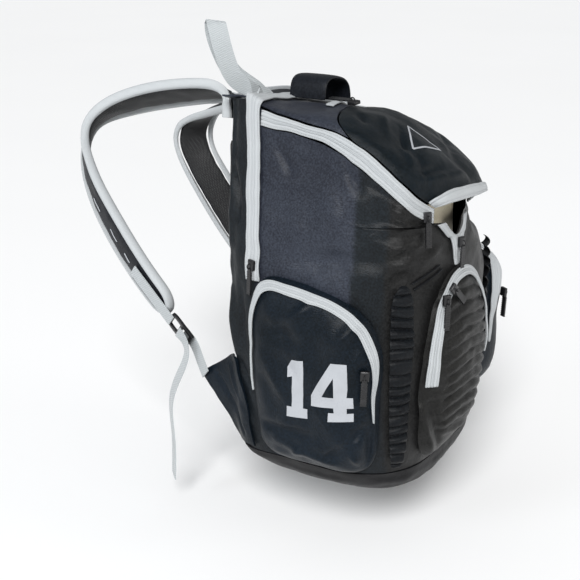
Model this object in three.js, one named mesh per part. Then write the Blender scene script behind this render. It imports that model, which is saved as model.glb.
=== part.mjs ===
// Athletic backpack: a soft hollow body with a bulging lid, three outer pockets,
// light zipper tapes, padded shoulder straps and webbing. Millimetres, +Z up.
// -Y is the bag's outer face and +Y is the side of the wearer.
import * as THREE from 'three';
import { TessellateModifier } from 'three/addons/modifiers/TessellateModifier.js';

// Body
const bodyHeight = 500;
const bodyWidth = 310;
const bodyDepth = 245;
const clothWall = 2;
const bootHeight = 44;
const bootWall = 3;
const frontRoundness = 3.4;
const rearSquareness = 9;
const gussetFoldDepth = 3;
const frontLean = 20;

// The empty top sags to the right, more and more above a level
const slumpDrop = 42;
const slumpFoot = 0.6 * bodyHeight;
const slumpSpan = 0.34 * bodyHeight;
const sagTurn = 25;
const sagShare = 1 / 3;

// Clearances between pieces
const seamGap = 0.3;
const layGap = 0.6;
const foldGap = 1.2;
const bindingGap = 2.3;

// Zippers
const tapeThickness = 1.5;
const mouthTapeWidth = 12;
const mouthFoot = 0.584 * bodyHeight;
const backZipperFoot = 0.564 * bodyHeight;
const backZipperLevels = [0.58, 0.648, 0.714, 0.79, 0.868, 0.944].map((share) => share * bodyHeight);
const backSliderHeight = 0.584 * bodyHeight;
const backZipperWidth = 20;
const lidTapeWidth = 10;
const sliderThickness = 4;
const pullLength = 30;

// Lid and top
const lidFoldHeight = 3;
const topPocketTapeWidth = 12;
const topPocketTapeSpan = 110;

// Side pockets
const sidePocketBulge = 26;
const fullPocketBulge = 44;
const sidePocketFold = 2.5;
// The full pocket's front end stands off the wall and forward
const flareLift = 30;
const flareForward = 40;
const flareFoot = 0.5 * bodyDepth;
const flareSpan = 0.3 * bodyDepth;

// Front pocket
const frontPocketHalf = 0.2516 * bodyWidth;
const frontPocketFoot = 0.094 * bodyHeight;
const frontPocketTop = 0.58 * bodyHeight;
const frontPocketShoulder = 0.316 * bodyHeight;
const frontPocketBulge = 24;
const ribPitch = 14.5;
const ribHeight = 3;
const ribFoot = 0.184 * bodyHeight;
const frontTapeWidth = 11;

// Gathered corners
const gatherHeight = 235;
const gatherFoot = 54;
const gatherPitch = 17;
const gatherPleat = 4;
const gatherDepth = 0.88;
const gatherMargin = 13;

// Shoulder straps and webbing
const strapWidth = 62;
const strapThickness = 11;
const bindingWidth = 8;
const strapSpread = 120;
const strapReach = 240;
const webbingWidth = 25;
const webbingThickness = 1.6;
const buckleLength = 42;
const buckleWidth = 34;
const buckleThickness = 4;
const buckleBar = 5;
const tailLength = 200;
const wingReach = 53;
const wingThickness = 3;

// Handle, hang loop and back pad
const handleWidth = 50;
const handleSpan = 66;
const handleRise = 30;
const handleThickness = 5;
const backPadThickness = 8;
const backPadShare = 0.72;
const backPadHeights = [0.13, 0.26, 0.36, 0.46, 0.58, 0.7, 0.78, 0.86];

// Numerals
const numeralHeight = 74;
const numeralWall = 1;
const numeralTilt = 6;
const numeralLift = 2;
const numeralCell = 0.24;
const numeralStart = 0.42;
const numeralFoot = 0.236;

// The point between the strap crests where the bag hangs on the shoulders
const hangDepth = -85;
const hangHeight = 478;

const bodyCentre = bodyDepth / 2;
const bag = new THREE.Group();
bag.position.set(0, hangDepth, -hangHeight);

// Depth counts outward from the wearer's back, so it runs along -Y
const at = (x, depth, height) => new THREE.Vector3(x, -depth, height);
const radians = THREE.MathUtils.degToRad;
const degrees = THREE.MathUtils.radToDeg;
const { lerp, clamp } = THREE.MathUtils;

// Materials
const cloth = (color, roughness) => new THREE.MeshStandardMaterial({ color, roughness, metalness: 0 });
const nylon = cloth(0x24272c, 0.62);
const quilt = cloth(0x24231f, 0.6);
const tape = cloth(0xc8cbcc, 0.75);
const webbing = cloth(0xbfc3c6, 0.8);
const meshPad = cloth(0x15171a, 0.85);
const vinyl = cloth(0xcdd0d4, 0.6);
const plastic = new THREE.MeshStandardMaterial({ color: 0x0c0d0e, roughness: 0.4, metalness: 0 });

// A row between two rows of a table, all its columns interpolated by one of them
function rowAt(table, column, value) {
  let i = 0;
  while (i < table.length - 2 && value > table[i + 1][column]) i++;
  const [low, high] = [table[i], table[i + 1]];
  const share = (value - low[column]) / (high[column] - low[column]);
  return Object.fromEntries(Object.keys(low).map((key) => [key, lerp(low[key], high[key], share)]));
}

// Smooth values through rows at whole numbers, for a share that runs from 0 to the last row
function smoothAt(values, place) {
  const i = clamp(Math.floor(place), 0, values.length - 2);
  const t = place - i;
  const [p, q, r, s] = [values[Math.max(i - 1, 0)], values[i], values[i + 1],
    values[Math.min(i + 2, values.length - 1)]];
  const bend = 2 * p - 5 * q + 4 * r - s;
  return q + 0.5 * t * (r - p + t * (bend + t * (3 * (q - r) + s - p)));
}

// A list of points that gives equal points the same number
function pointList() {
  const points = [];
  const numbers = new Map();
  const number = (point) => {
    const key = point.toArray().map((value) => value.toFixed(3)).join();
    if (!numbers.has(key)) numbers.set(key, points.push(point) - 1);
    return numbers.get(key);
  };
  return { points, number };
}

// The triangles of a geometry with equal points joined, each point first moved by a function
function welded(geometry, move = (point) => point) {
  const { points, number } = pointList();
  const place = (geometry.getIndex() ? geometry.toNonIndexed() : geometry).getAttribute('position');
  const corners = Array.from({ length: place.count }, (_, i) => {
    return number(move(new THREE.Vector3().fromBufferAttribute(place, i)));
  });
  const faces = [];
  for (let i = 0; i < corners.length; i += 3) faces.push(corners.slice(i, i + 3));
  return { points, faces: faces.filter((face) => new Set(face).size === 3) };
}

// An open sheet of triangles from rows of points
function sheet(rows) {
  const { points, number } = pointList();
  const grid = rows.map((row) => row.map(number));
  const faces = [];
  for (let j = 0; j + 1 < grid.length; j++) {
    for (let i = 0; i + 1 < grid[j].length; i++) {
      const [a, b, c, d] = [grid[j][i], grid[j][i + 1], grid[j + 1][i + 1], grid[j + 1][i]];
      for (const face of [[a, b, c], [a, c, d]]) {
        if (new Set(face).size === 3) faces.push(face);
      }
    }
  }
  return { points, faces };
}

// A closed solid between two offsets of a sheet, measured away from the point behind it
function thicken({ points, faces }, behind, from, to) {
  const normals = points.map(() => new THREE.Vector3());
  let outward = 0;
  for (const [a, b, c] of faces) {
    const [u, v] = [points[b].clone().sub(points[a]), points[c].clone().sub(points[a])];
    const normal = u.cross(v);
    outward += normal.dot(points[a].clone().sub(behind));
    for (const corner of [a, b, c]) normals[corner].add(normal);
  }
  const sign = Math.sign(outward);
  const facing = sign > 0 ? faces : faces.map(([a, b, c]) => [a, c, b]);
  for (const normal of normals) normal.normalize().multiplyScalar(sign);
  const count = points.length;
  const offset = (distance) => points.map((point, i) => point.clone().addScaledVector(normals[i], distance));
  const corners = [...offset(from), ...offset(to)];
  const triangles = facing.flatMap(([a, b, c]) => [[a + count, b + count, c + count], [a, c, b]]);
  const edges = new Set(facing.flatMap(([a, b, c]) => [`${a} ${b}`, `${b} ${c}`, `${c} ${a}`]));
  for (const edge of edges) {
    const [a, b] = edge.split(' ').map(Number);
    if (!edges.has(`${b} ${a}`)) triangles.push([b + count, a + count, a], [b + count, a, b]);
  }
  return solid(corners, triangles);
}

// A geometry of corners and triangles, turned so that its faces point out
function solid(corners, triangles) {
  const volume = triangles.reduce((sum, [a, b, c]) => {
    return sum + corners[a].dot(corners[b].clone().cross(corners[c]));
  }, 0);
  const facing = volume > 0 ? triangles : triangles.map(([a, b, c]) => [a, c, b]);
  const geometry = new THREE.BufferGeometry();
  geometry.setAttribute('position', new THREE.Float32BufferAttribute(corners.flatMap((p) => p.toArray()), 3));
  geometry.setIndex(facing.flat());
  geometry.computeVertexNormals();
  return geometry;
}

// A convex section swept through frames, each with its own origin, axes and size
function sweep(frames, section) {
  const rings = frames.map(({ origin, across, over, width, thickness }) => section.map(([u, v]) => {
    return origin.clone().addScaledVector(across, u * width).addScaledVector(over, v * thickness);
  }));
  const side = sheet(rings.map((ring) => [...ring, ring[0]]));
  const corners = [...side.points];
  const triangles = [...side.faces];
  const find = (point) => corners.findIndex((corner) => corner.distanceTo(point) < 0.002);
  const close = (ring, turned) => {
    for (let i = 1; i + 1 < ring.length; i++) {
      const face = [ring[0], ring[i], ring[i + 1]].map(find);
      if (new Set(face).size === 3) triangles.push(turned ? face.reverse() : face);
    }
  };
  close(rings[0], true);
  close(rings.at(-1), false);
  return solid(corners, triangles);
}

// Frames along a line of points, each with a direction across it
function framesAlong(points, acrosses, width, thickness) {
  return points.map((origin, i) => {
    const ahead = points[Math.min(i + 1, points.length - 1)].clone();
    const along = ahead.sub(points[Math.max(i - 1, 0)]).normalize();
    const across = acrosses[i].clone().addScaledVector(along, -acrosses[i].dot(along)).normalize();
    return { origin, along, across, over: along.clone().cross(across), width, thickness };
  });
}

const flatSection = [[-0.5, -0.5], [0.5, -0.5], [0.5, 0.5], [-0.5, 0.5]];
const padSection = [[-0.5, -0.2], [-0.42, -0.5], [0.42, -0.5], [0.5, -0.2],
  [0.5, 0.2], [0.42, 0.5], [-0.42, 0.5], [-0.5, 0.2]];
const bindingSection = [[-0.5, -0.5], [0.2, -0.5], [0.5, 0], [0.2, 0.5], [-0.5, 0.5]];

// How far the slump lowers a point
function slump(x, height) {
  const rise = clamp((height - slumpFoot) / slumpSpan, 0, 1);
  const topHalf = bodyRows.at(-1).half * bodyWidth / 2;
  return slumpDrop * rise ** 2 * (3 - 2 * rise) * clamp((x / topHalf + 1) / 2, 0, 1);
}

function add(name, geometry, material) {
  const place = geometry.getAttribute('position');
  for (let i = 0; i < place.count; i++) {
    place.setZ(i, place.getZ(i) - slump(place.getX(i), place.getZ(i)));
  }
  const mesh = new THREE.Mesh(geometry, material);
  mesh.name = name;
  bag.add(mesh);
}

// The same geometry on the other side of the bag
function mirrored(geometry) {
  const copy = geometry.clone().scale(-1, 1, 1);
  const index = copy.getIndex();
  for (let i = 0; i < index.count; i += 3) {
    const second = index.getX(i + 1);
    index.setX(i + 1, index.getX(i + 2));
    index.setX(i + 2, second);
  }
  copy.computeVertexNormals();
  return copy;
}

function addPair(name, geometry, material) {
  const right = mirrored(geometry);
  add(`${name}_left`, geometry, material);
  add(`${name}_right`, right, material);
}

// The body's outline by height: shares of bodyHeight, half of bodyWidth, and bodyDepth.
// The back zipper's middle line is at the depth called zip. The right front draws in by sag.
const bodyRows = [
  { height: 0.088, half: 0.955, rear: 0.03, front: 0.965, zip: 0.18, sag: 0 },
  { height: 0.17, half: 0.985, rear: 0.01, front: 0.99, zip: 0.18, sag: 0 },
  { height: 0.3, half: 1, rear: -0.01, front: 1, zip: 0.18, sag: 0 },
  { height: 0.46, half: 1, rear: -0.03, front: 1.012, zip: 0.18, sag: 0 },
  { height: 0.58, half: 0.975, rear: -0.06, front: 1.012, zip: 0.17, sag: 0 },
  { height: 0.65, half: 0.925, rear: -0.075, front: 1, zip: 0.152, sag: 0.07 },
  { height: 0.714, half: 0.875, rear: -0.09, front: 0.985, zip: 0.135, sag: 0.11 },
  { height: 0.87, half: 0.79, rear: -0.105, front: 0.96, zip: 0.1, sag: 0.05 },
  { height: 0.98, half: 0.74, rear: -0.12, front: 0.93, zip: 0.08, sag: 0 },
];

function bodyOutline(height) {
  const row = rowAt(bodyRows, 'height', height / bodyHeight);
  const [rear, front, zip, sag] = [row.rear, row.front, row.zip, row.sag].map((share) => share * bodyDepth);
  return { half: row.half * bodyWidth / 2, rear, front, zip, sag };
}

// A point of an outline at a bearing: 0 is the front, 180 the back, and the left side is negative
function outlinePoint(outline, bearing, height) {
  const [s, c] = [Math.sin(radians(bearing)), Math.cos(radians(bearing))];
  const sag = outline.sag * clamp(bearing / sagTurn, 0, 1) * clamp(c / sagShare, 0, 1);
  const reach = c >= 0 ? outline.front - bodyCentre - sag * 0.6 : bodyCentre - outline.rear;
  const power = c >= 0 ? frontRoundness : rearSquareness;
  const half = outline.half - sag;
  const radius = (Math.abs(s / half) ** power + Math.abs(c / reach) ** power) ** (-1 / power);
  return at(radius * s, bodyCentre + radius * c, height);
}

function bodyPoint(bearing, height, lift = 0) {
  const outline = bodyOutline(height);
  const point = outlinePoint(outline, bearing, height);
  if (lift === 0) return point;
  const next = outlinePoint(outline, bearing + 1, height);
  const above = outlinePoint(bodyOutline(height + 5), bearing, height + 5);
  const normal = next.sub(point).cross(above.sub(point)).normalize();
  return point.addScaledVector(normal, lift);
}

// The bearing of the left side's wall at a depth, and of the front wall at a distance from the middle
function bearingAtDepth(depth, height) {
  const { half, rear, front } = bodyOutline(height);
  const along = depth - bodyCentre;
  const [reach, power] = along >= 0 ? [front - bodyCentre, frontRoundness]
    : [bodyCentre - rear, rearSquareness];
  const x = half * (1 - Math.min(Math.abs(along) / reach, 1) ** power) ** (1 / power);
  return -degrees(Math.atan2(x, along));
}

function bearingAtX(x, height) {
  const { half, front } = bodyOutline(height);
  const along = (front - bodyCentre) * (1 - Math.abs(x / half) ** frontRoundness) ** (1 / frontRoundness);
  return degrees(Math.atan2(x, along));
}

// Stations over the top, from the back edge to the lid's front lip. The edge is the zipper's upper
// line, and topDepth and top place the middle. The zipper's lower line lies on the body wall.
const topRows = [
  { half: 0.74, depth: -0.113, height: 0.977, topDepth: -0.115, top: 0.977 },
  { half: 0.74, depth: -0.02, height: 0.979, topDepth: -0.02, top: 0.979 },
  { half: 0.742, depth: 0.04, height: 0.979, topDepth: 0.04, top: 0.978 },
  { half: 0.751, depth: 0.139, height: 0.952, topDepth: 0.125, top: 0.97, low: 0.9084, bearing: 127 },
  { half: 0.761, depth: 0.345, height: 0.934, topDepth: 0.25, top: 0.968, low: 0.898, bearing: 106.8 },
  { half: 0.765, depth: 0.483, height: 0.925, topDepth: 0.36, top: 0.969, low: 0.887, bearing: 91.2 },
  { half: 0.77, depth: 0.618, height: 0.909, topDepth: 0.45, top: 0.974, low: 0.855, bearing: 75.6 },
  { half: 0.761, depth: 0.748, height: 0.869, topDepth: 0.63, top: 0.962, low: 0.814, bearing: 62.5 },
  { half: 0.7, depth: 0.861, height: 0.818, topDepth: 0.8, top: 0.903, low: 0.763, bearing: 50.9 },
  { half: 0.596, depth: 0.925, height: 0.781, topDepth: 0.93, top: 0.85, low: 0.734, bearing: 43.4 },
  { half: 0.42, depth: 0.955, height: 0.752, topDepth: 1.045, top: 0.764, low: 0.71, bearing: 33 },
];
const zipperStart = 3;
const lidStart = 6;
const lidEnd = topRows.length - 1;

function edgeAt(key, place) {
  const i = clamp(Math.floor(place), 0, lidEnd - 1);
  return lerp(topRows[i][key], topRows[i + 1][key], place - i);
}

// A point on the arch over one station, with share -1 at the left edge and 1 at the right edge
function archPoint(place, share) {
  const edge = (key) => edgeAt(key, place);
  const crest = (key) => smoothAt(topRows.map((row) => row[key]), place);
  const angle = share * Math.PI / 2;
  const blend = Math.cos(angle) ** 0.75;
  const depth = lerp(edge('depth'), crest('topDepth'), blend) * bodyDepth;
  const height = lerp(edge('height'), crest('top'), blend) * bodyHeight;
  return at(edge('half') * bodyWidth / 2 * Math.sin(angle), depth, height);
}

// Shares at even steps from one value to another
function steps(from, to, count) {
  return Array.from({ length: count + 1 }, (_, i) => lerp(from, to, i / count));
}

// Rows of the main shell: its height, and the bearings where its front edge is cut on each side
const mouthMiddle = -bearingAtX(frontLean, 0.65 * bodyHeight);
const mouthRows = [
  { height: 0.65, cut: 0 }, { height: 0.664, cut: 4.5 },
  { height: 0.684, cut: 9.5 }, { height: 0.704, cut: 14 },
];
const wallHeights = [0.088, 0.17, 0.26, 0.36, 0.46, 0.58];
const rimHeights = [0.95, 0.97];

// The bearing of the back zipper's front edge (side 1) or rear edge (side -1) on the right
function zipperBearing(height, side) {
  return -bearingAtDepth(bodyOutline(height).zip + side * backZipperWidth / 2, height);
}

const frontCuts = [
  ...wallHeights.map((height) => ({ height, left: mouthMiddle, right: mouthMiddle })),
  ...mouthRows.map(({ height, cut }) => ({ height, left: mouthMiddle - cut, right: mouthMiddle + cut })),
  ...topRows.slice(zipperStart).reverse().map(({ low, bearing }) => {
    return { height: low, left: -bearing, right: bearing };
  }),
  ...rimHeights.map((height) => ({ height, left: -180, right: 180 })),
];

// Bearings along one side of a shell row, from its cut edge past the back zipper to the back
function sideBearings(cut, height, side) {
  const front = side * zipperBearing(height, 1);
  const rear = side * zipperBearing(height, -1);
  const { half, rear: back } = bodyOutline(height);
  const corner = side * degrees(Math.atan2(half, back - bodyCentre));
  const start = Math.abs(cut) > Math.abs(front) ? front : cut;
  const gusset = [0.3, 0.55, 0.8, 1, 1.15].map((share) => lerp(rear, corner, share));
  return [...steps(start, front, 7), rear, ...gusset, lerp(corner, side * 180, 0.45)];
}

function ringBearings({ left, right, height }) {
  const level = height * bodyHeight;
  return [...sideBearings(left, level, -1), 180, ...sideBearings(right, level, 1).reverse()];
}

// Long folds that run down the gusset, pressed inward
function gussetFold(bearing, height) {
  const start = zipperBearing(height, -1) + 1.5;
  const place = Math.abs(bearing) - start;
  if (place < 0 || place > 26) return 0;
  const wave = Math.sin(radians(place * 45 + height * 0.5));
  return -gussetFoldDepth * Math.max(0, wave);
}

function shellSheet() {
  return sheet(frontCuts.map((row) => ringBearings(row).map((bearing) => {
    const depth = -bodyPoint(bearing, row.height * bodyHeight).y / bodyDepth;
    const edge = rowAt(topRows, 'depth', Math.max(depth, topRows[0].depth)).height * bodyHeight;
    const level = Math.min(row.height * bodyHeight, edge - foldGap - clothWall);
    return bodyPoint(bearing, level, gussetFold(bearing, level));
  })));
}

const bodyMiddle = at(0, bodyCentre, bodyHeight / 2);
add('main_shell', thicken(shellSheet(), bodyMiddle, -clothWall, 0), nylon);

// The boot: shares of its height, and how far each ring draws in as shares of bodyDepth
const bootRows = [
  { height: 1, side: 0, rear: 0, front: 0 },
  { height: 0.58, side: 0.045, rear: 0.05, front: 0.01 },
  { height: 0.25, side: 0.11, rear: 0.14, front: 0.035 },
  { height: 0.06, side: 0.18, rear: 0.23, front: 0.085 },
  { height: 0, side: 0.235, rear: 0.3, front: 0.15 },
];

function bootSheet() {
  const seam = bodyOutline(bootHeight);
  const ring = ringBearings(frontCuts[0]);
  const rows = bootRows.map((row) => {
    const outline = {
      half: seam.half - row.side * bodyDepth,
      rear: seam.rear + row.rear * bodyDepth,
      front: seam.front - row.front * bodyDepth,
      sag: 0,
    };
    return ring.map((bearing) => outlinePoint(outline, bearing, row.height * (bootHeight - 1.5 * foldGap)));
  });
  const floorMiddle = at(0, bodyCentre * 1.2, 0);
  return sheet([...rows, ring.map(() => floorMiddle)]);
}
add('base_boot', thicken(bootSheet(), at(0, bodyCentre, bootHeight), -bootWall, 0), nylon);

// The padded panel against the wearer's back
function backPadSheet() {
  return sheet(backPadHeights.map((share) => share * bodyHeight).map((height) => {
    const { half, rear } = bodyOutline(height);
    return steps(-backPadShare, backPadShare, 6).map((share) => {
      return bodyPoint(180 - degrees(Math.atan2(share * half, bodyCentre - rear)), height);
    });
  }));
}
add('back_panel', thicken(backPadSheet(), bodyMiddle, foldGap, foldGap + backPadThickness), meshPad);

// The cloth over the top, and the lid in front of it
function topPanelSheet() {
  const places = [0, 1, 2, 3, 3.5, 4, 4.5, 5, 5.5, lidStart - 0.08];
  return sheet(places.map((place) => steps(-1, 1, 12).map((share) => archPoint(place, share))));
}
add('top_panel', thicken(topPanelSheet(), bodyMiddle, -clothWall, 0), nylon);

function lidPoint(place, share) {
  const inside = Math.sin((place - lidStart) / (lidEnd - lidStart) * Math.PI) * (1 - share ** 2);
  const wave = Math.sin(share * 7 + place * 1.1) + 0.6 * Math.sin(share * 13 - place * 1.9);
  const point = archPoint(place, share);
  return point.setZ(point.z + lidFoldHeight * inside * wave);
}

function lidSheet() {
  return sheet(steps(lidStart, lidEnd, 10).map((place) => {
    return steps(-1, 1, 12).map((share) => lidPoint(place, share));
  }));
}
add('lid', thicken(lidSheet(), bodyMiddle, -clothWall, 0), nylon);

const bothSides = [['left', -1], ['right', 1]];

// Main zippers fill the strip between the body wall and the lid
function mainZipperSheet(side) {
  const places = [zipperStart + 0.08, ...steps(zipperStart + 1, lidEnd, lidEnd - zipperStart - 1)];
  return sheet(places.map((place) => {
    const lower = bodyPoint(side * edgeAt('bearing', place), edgeAt('low', place) * bodyHeight);
    const upper = archPoint(place, side);
    const along = upper.clone().sub(lower).normalize();
    lower.addScaledVector(along, foldGap);
    upper.addScaledVector(along, -2.4 * foldGap);
    const middle = lower.clone().lerp(upper, 0.5);
    return [lower, middle, upper];
  }));
}
for (const [name, side] of bothSides) {
  add(`main_zipper_${name}`, thicken(mainZipperSheet(side), bodyMiddle, -tapeThickness, 0), tape);
}

// The tape on the lid's front edge
function lidTapeSheet() {
  const width = lidTapeWidth / (bodyDepth * 0.1);
  return sheet([lidEnd - width, lidEnd].map((place) => {
    return steps(-0.97, 0.97, 12).map((share) => lidPoint(place, share));
  }));
}
add('lid_tape', thicken(lidTapeSheet(), bodyMiddle, layGap, layGap + tapeThickness), tape);

// The opened tapes of the mouth, side by side below the slider
function mouthZipperSheet(side) {
  const rows = [{ height: mouthFoot / bodyHeight, cut: 0 }, ...mouthRows];
  return sheet(rows.map(({ height, cut }, i) => {
    const level = height * bodyHeight;
    const inner = bodyPoint(mouthMiddle + side * cut, level).x + side * seamGap;
    const outer = inner + side * mouthTapeWidth * (i === 0 ? 0.45 : 1);
    return [inner, outer].map((x) => bodyPoint(bearingAtX(x, level), level));
  }));
}
for (const [name, side] of bothSides) {
  const geometry = thicken(mouthZipperSheet(side), bodyMiddle, foldGap, foldGap + tapeThickness);
  add(`mouth_zipper_${name}`, geometry, tape);
}

// The back zipper runs up one side, over the top and down the other side
function backZipperSheet() {
  const leg = (side) => [backZipperFoot, ...backZipperLevels].map((height) => {
    return [1, -1].map((edge) => bodyPoint(side * zipperBearing(height, edge * 0.96), height));
  });
  const over = steps(-0.9, 0.9, 12).map((share) => [archPoint(2.9, share), archPoint(2, share)]);
  return sheet([...leg(-1), ...over, ...leg(1).reverse()]);
}
const backZipperLift = 1.7 * foldGap;
const backZipper = thicken(backZipperSheet(), bodyMiddle, backZipperLift, backZipperLift + tapeThickness);
add('back_zipper', backZipper, tape);

const topPocketPlace = 5.1;

function topPocketTapeSheet() {
  const middle = topPocketPlace;
  const width = topPocketTapeWidth / (bodyDepth * 0.11);
  const half = topPocketTapeSpan / bodyWidth;
  return sheet([middle - width / 2, middle + width / 2].map((place) => {
    return steps(-half, half, 6).map((share) => archPoint(place, share));
  }));
}
add('top_pocket_zipper', thicken(topPocketTapeSheet(), bodyMiddle, layGap, layGap + tapeThickness), tape);

// The side pocket's outline on the wall: shares of bodyDepth and bodyHeight
const sidePocketOutline = [
  { depth: 0.19, height: 0.27 }, { depth: 0.178, height: 0.4 }, { depth: 0.19, height: 0.52 },
  { depth: 0.25, height: 0.566 }, { depth: 0.45, height: 0.56 }, { depth: 0.68, height: 0.536 },
  { depth: 0.8, height: 0.495 }, { depth: 0.865, height: 0.41 }, { depth: 0.85, height: 0.3 },
  { depth: 0.84, height: 0.16 }, { depth: 0.78, height: 0.098 }, { depth: 0.5, height: 0.094 },
  { depth: 0.26, height: 0.098 }, { depth: 0.2, height: 0.15 },
];
const sidePocketCentre = { depth: 0.53, height: 0.3 };
const sidePocketRings = [
  { inset: 0, rise: 0 }, { inset: 0.025, rise: 0.34 }, { inset: 0.12, rise: 0.66 },
  { inset: 0.3, rise: 0.88 }, { inset: 0.6, rise: 1 }, { inset: 1, rise: 1 },
];
const sidePocketSteps = 30;

// The pocket's surface by turn around its outline and by inset toward its centre
function sidePocketPoint(turn, inset, rise, bulge = sidePocketBulge) {
  const line = new THREE.CatmullRomCurve3(
    sidePocketOutline.map(({ depth, height }) => at(0, depth * bodyDepth, height * bodyHeight)), true);
  const rim = line.getPoint(turn);
  const centre = at(0, sidePocketCentre.depth * bodyDepth, sidePocketCentre.height * bodyHeight);
  const place = rim.lerp(centre, inset);
  const [depth, height] = [-place.y, place.z];
  const lean = lerp(0.7, 1, clamp((depth - 40) / 130, 0, 1));
  const fold = Math.sin((depth * 0.8 + height) * 0.11) * Math.min(inset * 4, 1) * (1 - inset * 0.4);
  const lift = layGap + clothWall / 2 + rise * lean * bulge + fold * sidePocketFold;
  const wall = bodyPoint(bearingAtDepth(depth, height), height);
  const flare = bulge === fullPocketBulge ? rise * clamp((depth - flareFoot) / flareSpan, 0, 1) : 0;
  return wall.add(at(-lift - flare * flareLift, flare * flareForward, 0));
}

function sidePocketSheet(bulge) {
  return sheet(sidePocketRings.map(({ inset, rise }) => {
    return steps(0, 1, sidePocketSteps).map((turn) => sidePocketPoint(turn % 1, inset, rise, bulge));
  }));
}
const sidePocketBehind = at(0, bodyCentre, bodyHeight * 0.3);
const leftPocket = sidePocketSheet(sidePocketBulge);
const rightPocket = sidePocketSheet(fullPocketBulge);
add('side_pocket_left', thicken(leftPocket, sidePocketBehind, -clothWall, 0), nylon);
add('side_pocket_right', mirrored(thicken(rightPocket, sidePocketBehind, -clothWall, 0)), nylon);

// The zipper arch lies on the pocket's shoulder and tapers to its two feet
function sideZipperSheet(bulge) {
  const [low, high] = [sidePocketRings[1], sidePocketRings[2]];
  const last = Math.round(sidePocketSteps * 8.6 / sidePocketOutline.length);
  return sheet(steps(0, last, last).map((i) => {
    const turn = i / sidePocketSteps;
    const taper = 0.15 + 0.85 * Math.min(1, i / 4, (last - i) / 4);
    return [0.05, 0.05 + 0.85 * taper].map((share) => {
      const [inset, rise] = [lerp(low.inset, high.inset, share), lerp(low.rise, high.rise, share)];
      return sidePocketPoint(turn, inset, rise, bulge);
    });
  }));
}
const sideZipper = (bulge) => {
  return thicken(sideZipperSheet(bulge), sidePocketBehind, layGap, layGap + tapeThickness);
};
add('side_pocket_zipper_left', sideZipper(sidePocketBulge), tape);
add('side_pocket_zipper_right', mirrored(sideZipper(fullPocketBulge)), tape);

// The front pocket's outline: round at the top and squarer at the foot
const archPower = 2.2;
const footPower = 4;

function frontPocketShape(height) {
  const up = height > frontPocketShoulder;
  const span = up ? frontPocketTop - frontPocketShoulder : frontPocketShoulder - frontPocketFoot;
  const share = Math.min(Math.abs(height - frontPocketShoulder) / span, 1);
  return { share, power: up ? archPower : footPower };
}

function frontPocketWidth(height) {
  const { share, power } = frontPocketShape(height);
  return frontPocketHalf * (1 - share ** power) ** (1 / power);
}

function frontPocketPoint(x, height, ribbed) {
  const { share, power } = frontPocketShape(height);
  const radius = (Math.abs(x / frontPocketHalf) ** power + share ** power) ** (1 / power);
  const fullness = (1 - Math.min(radius, 1) ** 3) ** 0.6;
  const upward = (height - frontPocketFoot) / (frontPocketTop - frontPocketFoot);
  const bulge = frontPocketBulge * (0.62 + 0.38 * Math.sin(Math.PI * clamp(upward * 1.15, 0, 1)));
  const inRibs = ribbed && height > ribFoot;
  const rib = inRibs ? Math.abs(Math.sin(Math.PI * (height - ribFoot) / ribPitch)) * ribHeight : 0;
  const wall = bodyPoint(bearingAtX(x - frontLean, height), height);
  return wall.setY(wall.y - foldGap - clothWall / 2 - fullness * (bulge + rib));
}

function frontPocketSheet() {
  const ribCount = Math.floor((frontPocketTop - 6 - ribFoot) / ribPitch * 2);
  const low = [0, 3, 14, 30].map((rise) => frontPocketFoot + rise);
  const ribs = Array.from({ length: ribCount + 1 }, (_, i) => ribFoot + i * ribPitch / 2);
  const heights = [...low, ...ribs, frontPocketTop - 1.5, frontPocketTop];
  return sheet(heights.map((height) => steps(-1, 1, 8).map((share) => {
    const x = frontPocketWidth(height) * Math.sin(share * Math.PI / 2);
    return frontPocketPoint(x, height, true);
  })));
}
const frontPocketBehind = at(0, bodyCentre, frontPocketShoulder);
add('front_pocket', thicken(frontPocketSheet(), frontPocketBehind, -clothWall, 0), quilt);

// The arched zipper around the front pocket
function frontZipperSheet() {
  const span = frontPocketTop - frontPocketShoulder;
  const edge = (angle, inset) => {
    const [s, c] = [Math.sin(radians(angle)), Math.cos(radians(angle))];
    const [half, rise] = [frontPocketHalf - inset, span - inset];
    const radius = (Math.abs(s / half) ** archPower + Math.abs(c / rise) ** archPower) ** (-1 / archPower);
    return frontPocketPoint(radius * s, frontPocketShoulder + radius * c, false);
  };
  return sheet(steps(-90, 90, 24).map((angle) => [2, 2 + frontTapeWidth].map((inset) => {
    return edge(angle, inset);
  })));
}
const frontZipperLift = 0.62 * ribHeight;
const frontZipper = thicken(frontZipperSheet(), frontPocketBehind, frontZipperLift,
  frontZipperLift + tapeThickness);
add('front_pocket_zipper', frontZipper, tape);

// Gathered columns between the side pockets and the front pocket
function gatherSheet(gap) {
  const count = Math.round(gatherHeight / gatherPitch) * 2;
  return sheet(steps(0, count, count).map((i) => {
    const height = gatherFoot + gatherHeight * i / count;
    const arch = Math.sqrt(Math.max(0, 1 - Math.max(0, (i - count + 3) / 3.2) ** 2));
    const near = bearingAtDepth(gatherDepth * bodyDepth, height);
    const far = bearingAtX(-frontPocketHalf - frontLean - gatherMargin, height);
    const middle = (near + far) / 2;
    return steps(-1, 1, 2).map((share) => {
      const bearing = middle + share * arch * (far - near) / 2;
      const lift = gap + clothWall + (i % 2) * gatherPleat * (1 - 0.5 * Math.abs(share));
      return bodyPoint(bearing, height, lift);
    });
  }));
}
add('corner_gather_left', thicken(gatherSheet(layGap), bodyMiddle, -clothWall, 0), nylon);
add('corner_gather_right', mirrored(thicken(gatherSheet(-seamGap), bodyMiddle, -clothWall, 0)), nylon);

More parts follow.
